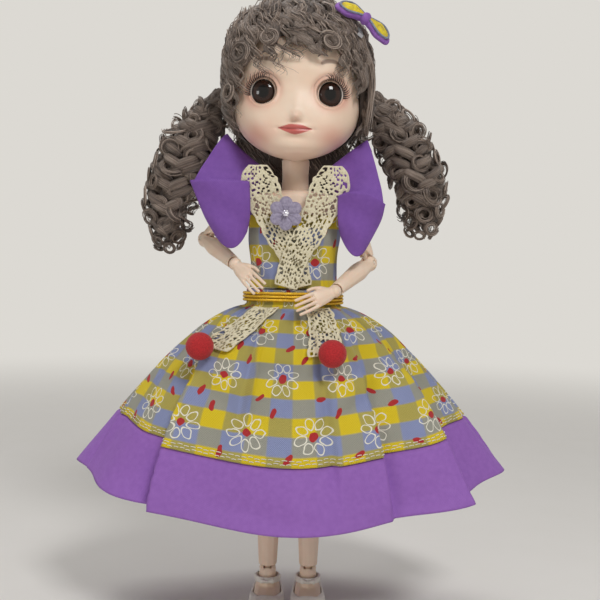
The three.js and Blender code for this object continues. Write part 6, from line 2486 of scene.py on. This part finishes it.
    def back(self) -> None:
        """Loose waves behind the neck."""
        paths = []
        t = np.linspace(0, 1, 30)
        ease = np.clip(5 * t, 0.2, 1)
        for k in range(self.back_locks):
            turn, own = GOLDEN * k, self.rng.uniform(0, 2 * math.pi)
            end = self.rng.uniform(191.0, 203.0)
            fill = 0.62 + 0.33 * ((k * 0.618) % 1.0)
            for _ in range(self.back_strands):
                phase = own + 2 * math.pi * 4.2 * t + self.rng.normal(0, 0.4)
                path = self.back_at(turn + 0.05 * self.rng.normal(), mix(246.0, end, t), fill)
                wave = np.stack([1.7 * np.cos(phase), 1.2 * np.sin(phase), np.zeros(len(t))], -1)
                paths.append(path + wave * ease[:, None] + self.rng.normal(0, (1.0, 0.6, 0.8)))
        strands = self.strands("hair_back_waves", paths)
        # The core is a sheet of painted shade behind the waves
        inner = globe("hair_back_core", 48, 24, self.back_core_at)
        for piece, finish, nodes in ((strands, self.hair, ("hair_back",)), (inner, self.roots, ())):
            coat(piece, finish, "hair", *nodes)
            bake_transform(piece)

    def back_at(self, turn: Array | float, z: Array, fill: Array | float) -> Array:
        """Points of the hair at the back at turns and heights, at a share of its full size."""
        width, depth, middle = through(self.back_rows, z).T
        return np.stack([fill * width * np.cos(turn), middle + fill * depth * np.sin(turn), z], -1)

    def back_core_at(self, turn: Array, share: Array) -> Array:
        """Points of the dark core of the hair at the back, painted shade that shows between the waves."""
        return self.back_at(turn, mix(194.0, 244.0, share), 0.84 * np.sin(math.pi * share) ** 0.4)


@dataclass
class HairBow:
    """Cloth bow on its steel barrette: purple loops faced with yellow and edged in grey-blue."""

    head: Head
    turn: float = -38.0
    height: float = 279.4
    stand_off: float = 5.4
    seat_out: Way = (0.66, -0.412, 0.628)
    out: Way = (0.42, -0.72, 0.55)
    along: Way = (0.826, 0.052, -0.562)
    loop: Way = (8.2, 5.0, 2.6)
    loop_out: float = 7.0
    knot: Way = (2.5, 3.0, 3.0)

    def build(self) -> None:
        """Builds the loops, their facing, the edging and the knot."""
        share = (self.height - self.head.chin) / self.head.height
        seat = self.head.at(np.array([math.radians(self.turn)]), np.array([share]), 5.0)[0]
        self.middle = seat + self.stand_off * np.asarray(self.seat_out)
        self.across = np.cross(self.out, self.along)
        purple = PurpleCloth((30.0, 20.0)).make("bow cloth")
        loops, facings, edges = [], [], []
        for end in (-1, 1):
            loops.append(self.pillow(f"bow_loop_{end}", end, 1.0, 0.0, self.loop[2]))
            facings.append(self.pillow(f"bow_facing_{end}", end, 0.74, 1.5, 1.5))
            angle = np.linspace(0, 2 * math.pi, 72)
            edges.append(self.leaf(end, np.cos(angle), np.sin(angle), 0.8, 2.0))
        loops.append(self.knot_piece())
        bow = joined("hair_bow_cloth", loops)
        dress(bow, purple, "head", "purple_cloth", "hair_bow")
        yellow = FibreFinish("#ead21c", "#bba63a", tuft=2.2, depth=0.1).make("yellow facing")
        dress(joined("hair_bow_facing", facings), yellow, "head", "gingham")
        grey = FibreFinish("#8f94a8", "#6a7086", tuft=1.2, depth=0.1).make("grey edging")
        dress(threads("hair_bow_edging", edges, 0.5, sides=6), grey, "head", "gingham")
        cover(bpy.data.objects["bow_clip"], PressedSteel().make("barrette steel"))

    def leaf(self, end: int, long: Array, wide: Array, size: float, rise: Array | float) -> Array:
        """Points on a loop, whose outline narrows towards the knot.

        Args:
            end: which loop, -1 or 1.
            long: shares of its length, from -1 at the knot to 1.
            wide: shares of its width.
            size: share of its full size.
            rise: how far the points stand out from the head.

        Returns:
            Points in millimetres.
        """
        pinch = 0.35 + 0.65 * smoothstep(-1.0, 0.5, long)
        a = end * (self.loop_out + size * self.loop[0] * long)
        b = size * self.loop[1] * wide * pinch
        lift = rise - 0.012 * a * a
        return (self.middle + a[:, None] * np.asarray(self.along) + b[:, None] * self.across
                + lift[:, None] * np.asarray(self.out))

    def pillow(self, name: str, end: int, size: float, rise: float, thick: float) -> Piece:
        """One soft loop or the facing on it.

        Args:
            name: the mesh's name.
            end: which loop, -1 or 1.
            size: share of the loop's full size.
            rise: how far it stands out.
            thick: its half thickness.

        Returns:
            The mesh, to be joined with the others.
        """
        def place(turn: Array, share: Array) -> Array:
            """Points of the loop, a little uneven all round."""
            long, wide, tall = ball(turn, share).T
            return self.leaf(end, long, wide, size, rise + thick * tall + 0.2 * np.sin(5 * turn))

        return globe(name, 56, 30, place)

    def knot_piece(self) -> Piece:
        """The knot between the loops."""
        def place(turn: Array, share: Array) -> Array:
            """Points of the knot."""
            long, wide, tall = np.split(ball(turn, share) * self.knot, 3, axis=-1)
            return (self.middle + long * np.asarray(self.along) + wide * self.across
                    + (0.6 + tall) * np.asarray(self.out))

        return globe("bow_knot", 40, 24, place)


def main() -> None:
    """Builds the doll on its frame."""
    logging.basicConfig(level=logging.INFO, format="%(name)s %(message)s")
    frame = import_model()
    Studio().build()
    Limbs(frame["nodes"]).build()
    head = Head()
    head.build()
    skirt, bodice = Skirt(), Bodice()
    skirt.build()
    bodice.build()
    purple = PurpleCloth((24.0, 90.0), "#8a5ab4", "#6a3f96").make("wing cloth")
    LEFT_RUFFLE.build(purple)
    RIGHT_RUFFLE.build(purple)
    Scarf(skirt, bodice).build()
    Trims().build()
    Shoes().build()
    Wig(head).build()
    HairBow(head).build()


if __name__ == "__main__":
    main()
